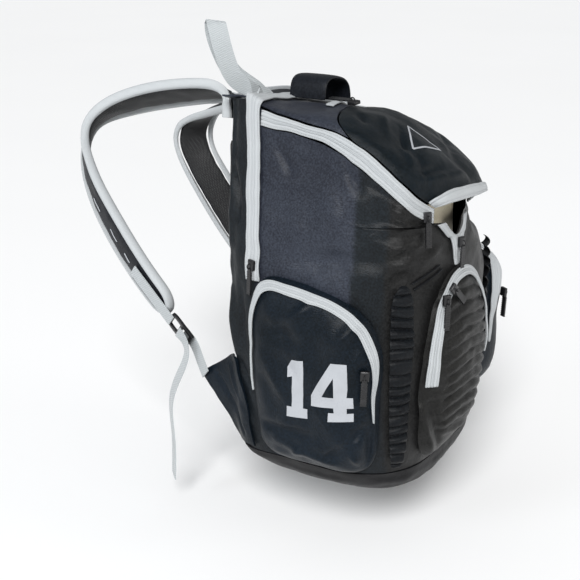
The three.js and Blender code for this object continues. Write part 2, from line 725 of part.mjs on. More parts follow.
// The wing is sewn along the gusset and reaches back to the lower webbing
const wingFoot = { depth: 0.16, height: 0.1 };
const wingHead = { depth: 0.06, height: 0.335 };
const wingBearing = 126;
const wingTip = at(-0.83 * bodyWidth / 2, -wingReach, 0.238 * bodyHeight);

function wingSheet() {
  return sheet(steps(0, 1, 6).map((up) => {
    const height = lerp(wingFoot.height, wingHead.height, up) * bodyHeight;
    const depth = lerp(wingFoot.depth, wingHead.depth, up) * bodyDepth;
    const start = -bearingAtDepth(depth, height);
    const lift = foldGap + wingThickness;
    const onWall = steps(0, 1, 2).map((share) => bodyPoint(-lerp(start, wingBearing, share), height, lift));
    const edge = bodyPoint(-wingBearing - 4, height, lift);
    const hem = wingTip.clone().add(at(4 * up, -2 * up, 6 * up));
    const free = steps(0, 1, 4).slice(1).map((share) => {
      const fold = Math.sin(up * 19) * Math.sin(share * Math.PI) * 2.5;
      return edge.clone().lerp(hem, share).add(at(-fold, 0, 0));
    });
    return [...onWall, edge, ...free];
  }));
}
addPair('wing', thicken(wingSheet(), at(0, 0, wingTip.z), -wingThickness, 0), nylon);

// The left strap's middle line as shares of strapSpread, strapReach and bodyHeight,
// with the direction from its middle to the edge on the outer side
const strapRows = [
  { x: 0.56, depth: -0.146, height: 0.915, edgeX: -1, edgeDepth: 0, edgeHeight: 0 },
  { x: 0.56, depth: -0.15, height: 0.948, edgeX: -1, edgeDepth: 0, edgeHeight: 0 },
  { x: 0.58, depth: -0.185, height: 0.972, edgeX: -0.95, edgeDepth: 0.1, edgeHeight: 0.2 },
  { x: 0.65, depth: -0.255, height: 0.978, edgeX: -0.92, edgeDepth: 0.1, edgeHeight: 0.33 },
  { x: 0.74, depth: -0.36, height: 0.972, edgeX: -0.9, edgeDepth: 0.14, edgeHeight: 0.38 },
  { x: 0.8, depth: -0.54, height: 0.956, edgeX: -0.86, edgeDepth: 0.2, edgeHeight: 0.43 },
  { x: 0.9, depth: -0.75, height: 0.926, edgeX: -0.8, edgeDepth: 0.35, edgeHeight: 0.45 },
  { x: 0.98, depth: -0.91, height: 0.885, edgeX: -0.72, edgeDepth: 0.5, edgeHeight: 0.42 },
  { x: 1, depth: -1, height: 0.82, edgeX: -0.66, edgeDepth: 0.62, edgeHeight: 0.38 },
  { x: 1, depth: -0.983, height: 0.72, edgeX: -0.55, edgeDepth: 0.7, edgeHeight: 0.42 },
  { x: 1, depth: -0.858, height: 0.608, edgeX: -0.42, edgeDepth: 0.73, edgeHeight: 0.54 },
  { x: 1, depth: -0.663, height: 0.486, edgeX: -0.42, edgeDepth: 0.73, edgeHeight: 0.54 },
  { x: 1, depth: -0.546, height: 0.428, edgeX: -0.42, edgeDepth: 0.73, edgeHeight: 0.54 },
];
const padWidth = strapWidth - 2 * bindingWidth - 2 * bindingGap;

function strapFrames() {
  const points = strapRows.map(({ x, depth, height }) => {
    return at(-x * strapSpread, depth * strapReach, height * bodyHeight);
  });
  const line = new THREE.CatmullRomCurve3(points);
  const places = steps(0, strapRows.length - 1, 17);
  const acrosses = places.map((place) => {
    const value = (key) => smoothAt(strapRows.map((row) => row[key]), place);
    return at(value('edgeX'), value('edgeDepth'), value('edgeHeight'));
  });
  const middles = places.map((place) => line.getPoint(place / (strapRows.length - 1)));
  return framesAlong(middles, acrosses, padWidth, strapThickness);
}
const strap = strapFrames();
const strapEnd = strap.at(-1);
const endAngles = [22.5, 45, 67.5, 86];

// The pad ends in a half circle, and the binding follows its edge all the way round
function strapPad() {
  const round = endAngles.map((angle) => ({
    ...strapEnd,
    origin: strapEnd.origin.clone().addScaledVector(strapEnd.along, padWidth / 2 * Math.sin(radians(angle))),
    width: padWidth * Math.cos(radians(angle)),
  }));
  return sweep([...strap, ...round], padSection);
}
addPair('strap', strapPad(), meshPad);

function bindingFrame(frame, across, offset) {
  return { ...frame, origin: frame.origin.clone().addScaledVector(across, offset), across,
    width: bindingWidth, thickness: strapThickness + 2 };
}

function strapBinding() {
  const offset = padWidth / 2 + bindingGap + bindingWidth / 2;
  const near = strap.map((frame) => bindingFrame(frame, frame.across, offset));
  const far = strap.map((frame) => bindingFrame(frame, frame.across.clone().negate(), offset)).reverse();
  const round = steps(0, 180, 8).slice(1, -1).map((angle) => {
    const across = strapEnd.across.clone().multiplyScalar(Math.cos(radians(angle)));
    return bindingFrame(strapEnd, across.addScaledVector(strapEnd.along, Math.sin(radians(angle))), offset);
  });
  return sweep([...near, ...round, ...far], bindingSection);
}
addPair('strap_binding', strapBinding(), tape);

// Places below the strap, counted from its rounded end: along it and above its outer face
function belowStrap(along, over) {
  return strapEnd.origin.clone().addScaledVector(strapEnd.along, along).addScaledVector(strapEnd.over, over);
}
const webbingPatch = 46;

// Webbing along a line of points
function ribbon(points, acrosses) {
  return sweep(framesAlong(points, acrosses, webbingWidth, webbingThickness), flatSection);
}
const outerFace = (strapThickness + 2) / 2 + layGap + webbingThickness / 2;
const buckleMiddle = padWidth / 2 + bindingWidth + 6 + buckleLength / 2;
const buckleLift = outerFace - (buckleThickness + webbingThickness) / 2 - layGap;

function upperWebbing() {
  const end = buckleMiddle - buckleLength / 2 + buckleBar;
  const points = steps(-webbingPatch, end, 4).map((along) => belowStrap(along, outerFace));
  return ribbon(points, points.map(() => strapEnd.across));
}
addPair('strap_webbing', upperWebbing(), webbing);

// A ladder-lock frame: a flat grid of cells with the two slots left open
function buckle() {
  const [long, wide] = [buckleLength / 2, buckleWidth / 2];
  const slotHalf = wide - buckleBar;
  const levels = [-long, -long + buckleBar, -buckleBar / 2, buckleBar / 2, long - buckleBar, long];
  const grid = sheet(levels.map((level, j) => [-wide, -slotHalf, slotHalf, wide].map((side) => {
    const inset = j === 0 ? 0.8 : 1;
    return belowStrap(buckleMiddle + level, buckleLift).addScaledVector(strapEnd.across, side * inset);
  })));
  const middle = belowStrap(buckleMiddle, buckleLift);
  const inSlot = (face) => {
    const offset = new THREE.Vector3();
    for (const corner of face) offset.add(grid.points[corner].clone().sub(middle).divideScalar(3));
    const along = Math.abs(offset.dot(strapEnd.along));
    const open = along > buckleBar / 2 && along < long - buckleBar;
    return open && Math.abs(offset.dot(strapEnd.across)) < slotHalf;
  };
  grid.faces = grid.faces.filter((face) => !inSlot(face));
  const below = belowStrap(buckleMiddle, buckleLift - 100);
  return thicken(grid, below, -buckleThickness / 2, buckleThickness / 2);
}
addPair('buckle', buckle(), plastic);

// A flat geometry moved so that its +Y runs along one direction and its +Z along another
function placed(geometry, origin, along, over) {
  const across = along.clone().cross(over).normalize();
  const matrix = new THREE.Matrix4().makeBasis(across, over.clone().cross(across), over).setPosition(origin);
  const { points, faces } = welded(geometry.applyMatrix4(matrix));
  return solid(points, faces);
}
// The lower webbing runs from under the buckle's lower bar to the wing
function lowerWebbing() {
  const under = buckleLift - buckleThickness / 2 - layGap - webbingThickness / 2;
  const start = buckleMiddle + buckleBar;
  const end = wingTip.clone().add(at(-4.7, 5, 4));
  const first = [start, start + buckleLength / 2].map((along) => belowStrap(along, under));
  const line = new THREE.CatmullRomCurve3([...first, first[1].clone().lerp(end, 0.5), end]);
  const points = line.getPoints(7);
  return ribbon(points, points.map(() => strapEnd.across));
}
addPair('lower_webbing', lowerWebbing(), webbing);

// The loose tail hangs from over the lower bar: shares of tailLength from its start
const tailLift = 1.6;
const tailRows = [
  { x: 0, back: 0, drop: 0 }, { x: 0.01, back: -0.02, drop: 0.1 }, { x: 0.02, back: 0.06, drop: 0.28 },
  { x: 0.02, back: 0.12, drop: 0.46 }, { x: 0.02, back: 0.1, drop: 0.72 }, { x: 0.02, back: 0.11, drop: 1 },
];

function strapTail() {
  const start = belowStrap(buckleMiddle + buckleLength / 2 - buckleBar, outerFace + tailLift);
  const points = tailRows.map(({ x, back, drop }) => {
    return start.clone().add(at(-x * tailLength, -back * tailLength, -drop * tailLength));
  });
  const line = new THREE.CatmullRomCurve3([belowStrap(buckleMiddle, outerFace + tailLift), ...points]);
  const places = line.getPoints(12);
  const last = at(-0.6, 0.6, 0);
  const acrosses = places.map((_, i) => strapEnd.across.clone().lerp(last, Math.min(1, i / 6)));
  return ribbon(places, acrosses);
}
addPair('strap_tail', strapTail(), webbing);

// A strap bent over the top, with its feet on the top panel
function grabHandle() {
  const middle = 0.184;
  const foot = archPoint(3.4, 0).z + layGap + tapeThickness + handleThickness / 2 + 2;
  const points = steps(-90, 90, 10).map((angle) => {
    const [s, c] = [Math.sin(radians(angle)), Math.cos(radians(angle))];
    const side = handleSpan / 2 * Math.sign(s) * Math.abs(s) ** 0.8;
    return at(side, middle * bodyDepth, foot + handleRise * c ** 0.6);
  });
  const frames = framesAlong(points, points.map(() => at(0, 1, 0)), handleWidth, handleThickness);
  return sweep(frames, padSection);
}
add('grab_handle', grabHandle(), nylon);

// The hang loop rises from the back seam and leans to the wearer
const hangLoopRows = [
  { x: 0.055, depth: -0.1235, height: 0.94 }, { x: 0.055, depth: -0.126, height: 0.96 },
  { x: 0.07, depth: -0.15, height: 0.982 }, { x: 0.12, depth: -0.24, height: 1.01 },
  { x: 0.125, depth: -0.3, height: 1.07 }, { x: 0.115, depth: -0.345, height: 1.13 },
  { x: 0.1, depth: -0.375, height: 1.155 }, { x: 0.085, depth: -0.395, height: 1.13 },
  { x: 0.07, depth: -0.365, height: 1.075 }, { x: 0.05, depth: -0.3, height: 1.02 },
  { x: -0.02, depth: -0.16, height: 0.982 }, { x: -0.04, depth: -0.126, height: 0.96 },
  { x: -0.04, depth: -0.1235, height: 0.94 },
];

function hangLoop() {
  const points = hangLoopRows.map(({ x, depth, height }) => {
    return at(-x * bodyWidth, depth * bodyDepth, height * bodyHeight);
  });
  const line = new THREE.CatmullRomCurve3(points);
  const places = steps(0, hangLoopRows.length - 1, 24);
  const twist = (place) => clamp(Math.min(place, hangLoopRows.length - 1 - place) - 1.5, 0, 1);
  const acrosses = places.map((place) => at(1, 0, 0).lerp(at(0.515, 0.857, 0), twist(place)));
  return ribbon(places.map((place) => line.getPoint(place / (hangLoopRows.length - 1))), acrosses);
}
add('hang_loop', hangLoop(), webbing);

// A slider with its pull hanging along +Y of the flat shape
function slider(origin, along, over) {
  const shape = new THREE.Shape();
  shape.moveTo(-4, -7).lineTo(4, -7).lineTo(5.5, 0).lineTo(4.5, 6).lineTo(2.2, 8);
  shape.lineTo(3.2, 12).lineTo(3.6, pullLength).lineTo(-3.6, pullLength).lineTo(-3.2, 12);
  shape.lineTo(-2.2, 8).lineTo(-4.5, 6).lineTo(-5.5, 0).closePath();
  const geometry = new THREE.ExtrudeGeometry(shape, { depth: sliderThickness, bevelEnabled: false });
  return placed(geometry, origin, along, over);
}

const down = at(0, 0, -1);
const aboveTape = foldGap + tapeThickness + 2 * layGap;
const leftOut = at(-1, 0, 0);
const frontOut = at(0, 1, 0);
const backSliderBearing = zipperBearing(backSliderHeight, 0);
const backSliderPlace = bodyPoint(-backSliderBearing, backSliderHeight, aboveTape + foldGap);
addPair('slider_back', slider(backSliderPlace, down, leftOut), plastic);

const mainSliderPlace = bodyPoint(-37, 0.728 * bodyHeight, seamGap);
const mainSliderOut = at(-0.35, 1, 0.15).normalize();
const mainPull = at(0, -0.15, -1).normalize();
add('slider_main', slider(mainSliderPlace, mainPull, mainSliderOut), plastic);
const mouthSliderPlace = bodyPoint(mouthMiddle, 0.64 * bodyHeight, aboveTape + 1.5 * foldGap);
add('slider_mouth', slider(mouthSliderPlace, down, frontOut), plastic);

function topPocketSlider() {
  const place = archPoint(topPocketPlace, -0.2).add(at(0, 0, aboveTape - layGap));
  return slider(place, at(-0.2, 0.97, 0.05).normalize(), at(0, 0, 1));
}
add('slider_top_pocket', topPocketSlider(), plastic);

function sidePocketSlider(bulge, lift) {
  const { inset, rise } = sidePocketRings[2];
  const place = sidePocketPoint(0.52, inset, rise, bulge).add(at(-aboveTape - lift, 0, 0));
  return slider(place, down, leftOut);
}
add('slider_side_pocket_left', sidePocketSlider(sidePocketBulge, 0.8), plastic);
add('slider_side_pocket_right', mirrored(sidePocketSlider(fullPocketBulge, 4.6)), plastic);

const frontSliderLift = 6.9;

function frontSlider(x, height, along) {
  const place = frontPocketPoint(x, height, false).add(at(0, aboveTape + ribHeight + frontSliderLift, 0));
  return slider(place, along, frontOut);
}
const slantingPull = at(0.8, 0, -0.6);
add('slider_front_left', frontSlider(-0.705 * frontPocketHalf, 0.524 * bodyHeight, down), plastic);
add('slider_front_right', frontSlider(-0.538 * frontPocketHalf, 0.548 * bodyHeight, slantingPull), plastic);

// Numerals in block form: outlines as shares of numeralHeight, from the foot of the first one
const oneOutline = [[0, 0], [0.39, 0], [0.39, 0.17], [0.31, 0.17], [0.31, 1], [0.1, 1], [0, 0.86], [0, 0.68],
  [0.09, 0.7], [0.09, 0.17], [0, 0.17]];
const fourShape = [[0.78, 0], [1.17, 0], [1.17, 0.15], [1.08, 0.15], [1.08, 0.24], [1.17, 0.24], [1.17, 0.42],
  [1.08, 0.42], [1.08, 1], [0.82, 1], [0.47, 0.42], [0.47, 0.24], [0.87, 0.24], [0.87, 0.15], [0.78, 0.15]];
const fourHole = [[0.67, 0.42], [0.87, 0.42], [0.87, 0.75]];

// The left pocket's faceted surface straight out from a depth and height
function pocketSurface(depth, height) {
  const flat = (point) => new THREE.Vector3(0, point.y, point.z);
  for (const face of leftPocket.faces) {
    const corners = face.map((i) => leftPocket.points[i]);
    const shares = new THREE.Vector3();
    const found = THREE.Triangle.getBarycoord(at(0, depth, height), ...corners.map(flat), shares);
    if (found && Math.min(...shares.toArray()) > -1e-6) {
      const x = corners.reduce((sum, corner, i) => sum + corner.x * shares.getComponent(i), 0);
      return at(x, depth, height);
    }
  }
  return at(-bodyWidth / 2, depth, height);
}

// Numerals stand on the left pocket and climb toward the front
function numeral(outline, hole = []) {
  const corner = ([x, y]) => new THREE.Vector2(x, y).multiplyScalar(numeralHeight);
  const shape = new THREE.Shape(outline.map(corner));
  if (hole.length > 0) shape.holes.push(new THREE.Path(hole.map(corner)));
  const cells = new TessellateModifier(numeralHeight * numeralCell, 6);
  const flat = cells.modify(new THREE.ShapeGeometry(shape).toNonIndexed());
  const print = welded(flat, ({ x, y }) => {
    const depth = numeralStart * bodyDepth + x * Math.cos(radians(numeralTilt));
    return pocketSurface(depth, numeralFoot * bodyHeight + y + x * Math.sin(radians(numeralTilt)));
  });
  return thicken(print, sidePocketBehind, numeralLift, numeralLift + numeralWall);
}
add('numeral_1', numeral(oneOutline), vinyl);
add('numeral_4', numeral(fourShape, fourHole), vinyl);

export default bag;
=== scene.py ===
import math

import bmesh
import bpy
from mathutils import Matrix, Vector, noise
from mathutils.bvhtree import BVHTree


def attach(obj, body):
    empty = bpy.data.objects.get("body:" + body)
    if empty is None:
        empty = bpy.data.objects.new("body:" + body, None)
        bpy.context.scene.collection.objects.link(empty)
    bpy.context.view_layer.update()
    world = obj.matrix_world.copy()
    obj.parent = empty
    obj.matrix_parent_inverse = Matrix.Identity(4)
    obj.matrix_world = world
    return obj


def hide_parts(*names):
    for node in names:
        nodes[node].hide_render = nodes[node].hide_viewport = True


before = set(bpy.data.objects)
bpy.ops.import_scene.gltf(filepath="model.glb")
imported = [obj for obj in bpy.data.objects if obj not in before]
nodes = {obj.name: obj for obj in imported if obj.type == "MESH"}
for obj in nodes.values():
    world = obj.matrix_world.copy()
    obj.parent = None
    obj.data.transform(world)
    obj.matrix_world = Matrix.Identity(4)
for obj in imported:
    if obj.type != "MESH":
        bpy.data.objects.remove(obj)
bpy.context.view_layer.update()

bpy.ops.object.select_all(action="DESELECT")
print("Frame loaded")

# camera, light and floor
studio = {
    "cameraAt": (-1.311, -0.873, 0.257),
    "cameraAim": (0.0, -0.085, -0.270),
    "lens": 74.48,
    "floorHeight": -0.56,
    "floorSide": 24.0,
    "floorColors": ((0.90, 0.90, 0.90, 1), (0.93, 0.93, 0.93, 1)),
    "floorCloud": 1.2,
    "sensorWidth": 36,
    "worldColor": (0.96, 0.98, 1.0),
    "worldStrength": 0.36,
    "sunFrom": (-1.7, -0.75, 1.5),
    "sunStrength": 3.3,
    "sunAngle": 24.0,
    # name: (place, aim, width, watts, color)
    "lamps": {
        "sideLamp": ((-2.6, 0.9, 0.9), (0, -0.1, -0.2), 1.0, 16, (0.90, 0.95, 1.0)),
        "frontLamp": ((0.6, -2.6, 0.6), (0, -0.2, -0.2), 0.9, 9, (1.0, 0.97, 0.93)),
    },
}


def aimed(obj, aim):
    obj.rotation_euler = (Vector(aim) - obj.location).to_track_quat("-Z", "Y").to_euler()


def makeStudio():
    bpy.ops.object.camera_add(location=studio["cameraAt"])
    camera = bpy.context.object
    camera.name = "photoCamera"
    aimed(camera, studio["cameraAim"])
    camera.data.lens = studio["lens"]
    camera.data.sensor_width = studio["sensorWidth"]
    bpy.context.scene.camera = camera
    for name, (place, aim, width, watts, color) in studio["lamps"].items():
        bpy.ops.object.light_add(type="AREA", location=place)
        lamp = bpy.context.object
        lamp.name = name
        aimed(lamp, aim)
        lamp.data.shape = "DISK"
        lamp.data.size = width
        lamp.data.energy = watts
        lamp.data.color = color
    bpy.ops.object.light_add(type="SUN", location=studio["sunFrom"])
    sun = bpy.context.object
    sun.name = "softSun"
    aimed(sun, (0, 0, 0))
    sun.data.energy = studio["sunStrength"]
    sun.data.angle = math.radians(studio["sunAngle"])
    world = bpy.data.worlds.new("paleRoom")
    world.use_nodes = True
    sky = world.node_tree.nodes["Background"].inputs
    sky["Color"].default_value = (*studio["worldColor"], 1)
    sky["Strength"].default_value = studio["worldStrength"]
    bpy.context.scene.world = world
    bpy.context.scene.view_settings.view_transform = "Standard"


# node groups that several materials share
def socketsOf(group, inputs, outputs):
    for name, kind, value in inputs:
        socket = group.interface.new_socket(name=name, in_out="INPUT", socket_type=kind)
        if value is not None:
            socket.default_value = value
    for name, kind in outputs:
        group.interface.new_socket(name=name, in_out="OUTPUT", socket_type=kind)


class Net:
    # a short way to add nodes to one tree and join them
    def __init__(self, tree):
        self.tree = tree

    def add(self, kind, values=None, **settings):
        node = self.tree.nodes.new(kind)
        for key, value in settings.items():
            setattr(node, key, value)
        for key, value in (values or {}).items():
            if isinstance(value, bpy.types.NodeSocket):
                self.tree.links.new(value, node.inputs[key])
            else:
                node.inputs[key].default_value = value
        return node

    def math(self, operation, first, second=0.0, third=0.0):
        node = self.add("ShaderNodeMath", {0: first, 1: second, 2: third}, operation=operation)
        return node.outputs[0]

    def mix(self, share, first, second):
        node = self.tree.nodes.new("ShaderNodeMix")
        node.data_type = "RGBA"
        # sockets 6 and 7 are the two colors of the mix, and output 2 is its color
        for socket, value in ((node.inputs[0], share), (node.inputs[6], first), (node.inputs[7], second)):
            if isinstance(value, bpy.types.NodeSocket):
                self.tree.links.new(value, socket)
            else:
                socket.default_value = value
        return node.outputs[2]


def newGroup(name, inputs, outputs):
    group = bpy.data.node_groups.new(name, "ShaderNodeTree")
    socketsOf(group, inputs, outputs)
    net = Net(group)
    return net, net.add("NodeGroupInput").outputs, net.add("NodeGroupOutput").inputs


weaveLook = {
    "cloudScale": 9.0, "fleckScale": 420.0, "creaseScale": 38.0, "creaseBend": 0.7,
    "toneSpread": 1.5, "toneShift": -0.3, "fleckSpread": 2.2, "fleckShift": -1.1,
    "roughSpread": 0.22, "threadHeight": 0.05, "fleckHeight": 0.08,
}


def buildClothGrain():
    # a plain weave, crossed fine creases and cloudy tone, for woven nylon
    net, given, out = newGroup("clothGrain", [
        ("Vector", "NodeSocketVector", None), ("Dark", "NodeSocketColor", (0.01, 0.01, 0.012, 1)),
        ("Light", "NodeSocketColor", (0.03, 0.03, 0.035, 1)), ("Threads", "NodeSocketFloat", 900.0),
        ("Crumple", "NodeSocketFloat", 0.5), ("Matte", "NodeSocketFloat", 0.55),
    ], [("Color", "NodeSocketColor"), ("Roughness", "NodeSocketFloat"), ("Height", "NodeSocketFloat")])
    place = given["Vector"]
    split = net.add("ShaderNodeSeparateXYZ", {0: place})
    waves = []
    for axis in (0, 1):
        angle = net.math("MULTIPLY", split.outputs[axis], given["Threads"])
        waves.append(net.math("SINE", net.math("MULTIPLY", angle, 2 * math.pi)))
    weave = net.math("MULTIPLY", waves[0], waves[1])
    look = weaveLook
    cloud = net.add("ShaderNodeTexNoise", {"Vector": place, "Scale": look["cloudScale"], "Detail": 3.0,
                                           "Roughness": 0.6})
    fleck = net.add("ShaderNodeTexNoise", {"Vector": place, "Scale": look["fleckScale"], "Detail": 2.0})
    crease = net.add("ShaderNodeTexNoise", {"Vector": place, "Scale": look["creaseScale"], "Detail": 4.0,
                                            "Roughness": 0.62, "Distortion": look["creaseBend"]})
    tone = net.math("MULTIPLY_ADD", cloud.outputs[0], look["toneSpread"], look["toneShift"])
    speck = net.math("MULTIPLY_ADD", fleck.outputs[0], look["fleckSpread"], look["fleckShift"])
    share = net.math("ADD", tone, speck)
    share = net.add("ShaderNodeClamp", {0: share}).outputs[0]
    net.tree.links.new(net.mix(share, given["Dark"], given["Light"]), out["Color"])
    rough = net.math("MULTIPLY_ADD", crease.outputs[0], look["roughSpread"], given["Matte"])
    net.tree.links.new(net.math("SUBTRACT", rough, look["roughSpread"] / 2), out["Roughness"])
    flecks = net.math("MULTIPLY", fleck.outputs[0], look["fleckHeight"])
    fine = net.math("MULTIPLY_ADD", weave, look["threadHeight"], flecks)
    wide = net.math("MULTIPLY", crease.outputs[0], given["Crumple"])
    net.tree.links.new(net.math("ADD", fine, wide), out["Height"])
    return net.tree


tapeLook = {
    "twill": 0.002, "stitchWidth": 0.00035, "stitchShare": 0.68, "soilScale": 26.0, "soilStart": 0.35,
    "fleckScale": 900.0, "ribTone": 0.05, "rowTone": 0.25, "threadTone": 0.4, "grooveShadeTone": 0.6,
    "ribHeight": 0.18, "fleckHeight": 0.2, "threadHeight": 0.9, "rowDepth": 0.6,
}


def buildTapeWeave():
    # herringbone ribs and stitch rows that follow a strip's own map, in metres along and across
    net, given, out = newGroup("tapeWeave", [
        ("Strip", "NodeSocketVector", None), ("Place", "NodeSocketVector", None),
        ("Base", "NodeSocketColor", (0.6, 0.6, 0.62, 1)), ("Shade", "NodeSocketColor", (0.4, 0.4, 0.42, 1)),
        ("Pitch", "NodeSocketFloat", 0.0012), ("Stitch", "NodeSocketFloat", 0.003),
        ("Row", "NodeSocketFloat", 0.0015), ("Soil", "NodeSocketFloat", 0.25),
        ("GrooveShade", "NodeSocketFloat", 0.0),
    ], [("Color", "NodeSocketColor"), ("Roughness", "NodeSocketFloat"), ("Height", "NodeSocketFloat")])
    split = net.add("ShaderNodeSeparateXYZ", {0: given["Strip"]})
    across, along = split.outputs[0], split.outputs[1]
    look = tapeLook
    slant = net.math("ADD", along, net.math("PINGPONG", across, look["twill"]))
    ribs = net.math("SINE", net.math("MULTIPLY", net.math("DIVIDE", slant, given["Pitch"]), 2 * math.pi))
    # the third value of the map is the distance to the nearest edge of the strip
    edge = net.math("ABSOLUTE", net.math("SUBTRACT", split.outputs[2], given["Row"]))
    onRow = net.math("LESS_THAN", edge, look["stitchWidth"])
    turn = net.math("FRACT", net.math("DIVIDE", along, given["Stitch"]))
    thread = net.math("MULTIPLY", onRow, net.math("LESS_THAN", turn, look["stitchShare"]))
    soil = net.add("ShaderNodeTexNoise", {"Vector": given["Place"], "Scale": look["soilScale"],
                                          "Detail": 5.0, "Roughness": 0.7})
    fleck = net.add("ShaderNodeTexNoise", {"Vector": given["Place"], "Scale": look["fleckScale"],
                                           "Detail": 1.0})
    share = net.math("MULTIPLY", net.math("SUBTRACT", soil.outputs[0], look["soilStart"]), given["Soil"])
    share = net.math("ADD", share, net.math("MULTIPLY_ADD", ribs, look["ribTone"], look["ribTone"]))
    share = net.math("ADD", share, net.math("MULTIPLY_ADD", fleck.outputs[0], 0.3, -0.12))
    share = net.math("ADD", share, net.math("MULTIPLY", onRow, look["rowTone"]))
    share = net.math("SUBTRACT", share, net.math("MULTIPLY", thread, look["threadTone"]))
    # painted shade darkens the tape where its profile sinks into grooves
    share = net.math("ADD", share, net.math("MULTIPLY", given["GrooveShade"], look["grooveShadeTone"]))
    share = net.add("ShaderNodeClamp", {0: share}).outputs[0]
    net.tree.links.new(net.mix(share, given["Base"], given["Shade"]), out["Color"])
    net.tree.links.new(net.math("MULTIPLY_ADD", soil.outputs[0], 0.2, 0.62), out["Roughness"])
    flecks = net.math("MULTIPLY", fleck.outputs[0], look["fleckHeight"])
    height = net.math("MULTIPLY_ADD", ribs, look["ribHeight"], flecks)
    height = net.math("ADD", height, net.math("MULTIPLY", thread, look["threadHeight"]))
    height = net.math("SUBTRACT", height, net.math("MULTIPLY", onRow, look["rowDepth"]))
    net.tree.links.new(height, out["Height"])
    return net.tree


clothGrain = buildClothGrain()
tapeWeave = buildTapeWeave()


def newMaterial(name, **constants):
    material = bpy.data.materials.new(name)
    material.use_nodes = True
    shader = material.node_tree.nodes["Principled BSDF"]
    for key, value in constants.items():
        shader.inputs[key.replace("_", " ")].default_value = value
    return material, shader, Net(material.node_tree)


def relief(net, shader, height, depth):
    bump = net.add("ShaderNodeBump", {"Height": height, "Distance": depth, "Strength": 1.0})
    net.tree.links.new(bump.outputs[0], shader.inputs["Normal"])


# the weave lies at this angle to the frame, and its relief is this deep in metres
clothSet = {"turn": math.radians(35), "depth": 0.0012, "threads": 900.0}


def clothMaterial(name, dark, light, threads=clothSet["threads"], crumple=0.5, matte=0.5, **constants):
    material, shader, net = newMaterial(name, **constants)
    place = net.add("ShaderNodeTexCoord").outputs["Object"]
    turned = net.add("ShaderNodeMapping", {"Vector": place})
    turned.inputs["Rotation"].default_value = (0.0, 0.0, clothSet["turn"])
    grain = net.add("ShaderNodeGroup", node_tree=clothGrain)
    net.tree.links.new(turned.outputs[0], grain.inputs["Vector"])
    for key, value in (("Dark", (*dark, 1)), ("Light", (*light, 1)), ("Threads", threads),
                       ("Crumple", crumple), ("Matte", matte)):
        grain.inputs[key].default_value = value
    net.tree.links.new(grain.outputs["Color"], shader.inputs["Base Color"])
    net.tree.links.new(grain.outputs["Roughness"], shader.inputs["Roughness"])
    relief(net, shader, grain.outputs["Height"], clothSet["depth"])
    return material


bodyLook = {
    # panel: dark color, light color
    "side": ((0.012, 0.014, 0.021, 1), (0.034, 0.040, 0.055, 1)),
    # the strip tone, also used on the gusset, and the corner tone are painted shade where the cloth turns away
    # from the light
    "strip": ((0.003, 0.004, 0.005, 1), (0.010, 0.014, 0.018, 1)),
    "corner": ((0.004, 0.004, 0.004, 1), (0.016, 0.016, 0.016, 1)),
    "crumple": 1.1,
    "matte": 0.40,
}


def bodyMaterial():
    # one cloth in three tones: blue-black sides, then painted shade that darkens the strip and gusset, and
    # darkens and warms the front corner more, where the cloth turns away from the light
    material, shader, net = newMaterial("bodyCloth", Sheen_Weight=0.02, Sheen_Roughness=0.4,
                                        Specular_IOR_Level=0.19)
    place = net.add("ShaderNodeTexCoord").outputs["Object"]
    turned = net.add("ShaderNodeMapping", {"Vector": place})
    turned.inputs["Rotation"].default_value = (0.0, 0.0, clothSet["turn"])
    panel = net.add("ShaderNodeAttribute", attribute_name="panel").outputs["Fac"]
    grain = net.add("ShaderNodeGroup", node_tree=clothGrain)
    net.tree.links.new(turned.outputs[0], grain.inputs["Vector"])
    # the strip and corner masks carry the painted shade
    strip = net.add("ShaderNodeClamp", {0: panel}).outputs[0]
    corner = net.add("ShaderNodeClamp", {0: net.math("SUBTRACT", panel, 1.0)}).outputs[0]
    for tone, key in enumerate(("Dark", "Light")):
        color = net.mix(strip, bodyLook["side"][tone], bodyLook["strip"][tone])
        net.tree.links.new(net.mix(corner, color, bodyLook["corner"][tone]), grain.inputs[key])
    grain.inputs["Threads"].default_value = clothSet["threads"]
    grain.inputs["Crumple"].default_value = bodyLook["crumple"]
    grain.inputs["Matte"].default_value = bodyLook["matte"]
    net.tree.links.new(grain.outputs["Color"], shader.inputs["Base Color"])
    net.tree.links.new(grain.outputs["Roughness"], shader.inputs["Roughness"])
    relief(net, shader, grain.outputs["Height"], clothSet["depth"])
    return material


def stripMaterial(name, base, shade, pitch=0.0012, row=0.0015, soil=0.25, depth=0.0004, **constants):
    material, shader, net = newMaterial(name, **constants)
    strip = net.add("ShaderNodeAttribute", attribute_name="strip").outputs["Vector"]
    place = net.add("ShaderNodeTexCoord").outputs["Object"]
    weave = net.add("ShaderNodeGroup", node_tree=tapeWeave)
    net.tree.links.new(strip, weave.inputs["Strip"])
    # the groove attribute holds painted shade for the tape's grooves
    groove = net.add("ShaderNodeAttribute", attribute_name="groove").outputs["Fac"]
    net.tree.links.new(groove, weave.inputs["GrooveShade"])
    net.tree.links.new(place, weave.inputs["Place"])
    for key, value in (("Base", (*base, 1)), ("Shade", (*shade, 1)), ("Pitch", pitch), ("Row", row),
                       ("Soil", soil)):
        weave.inputs[key].default_value = value
    net.tree.links.new(weave.outputs["Color"], shader.inputs["Base Color"])
    net.tree.links.new(weave.outputs["Roughness"], shader.inputs["Roughness"])
    relief(net, shader, weave.outputs["Height"], depth)
    return material


meshLook = {"holes": 420.0, "holeEdge": 0.36, "holeDepth": 0.9, "depth": 0.0007, "turn": (0.5, 0.3, 0.4)}


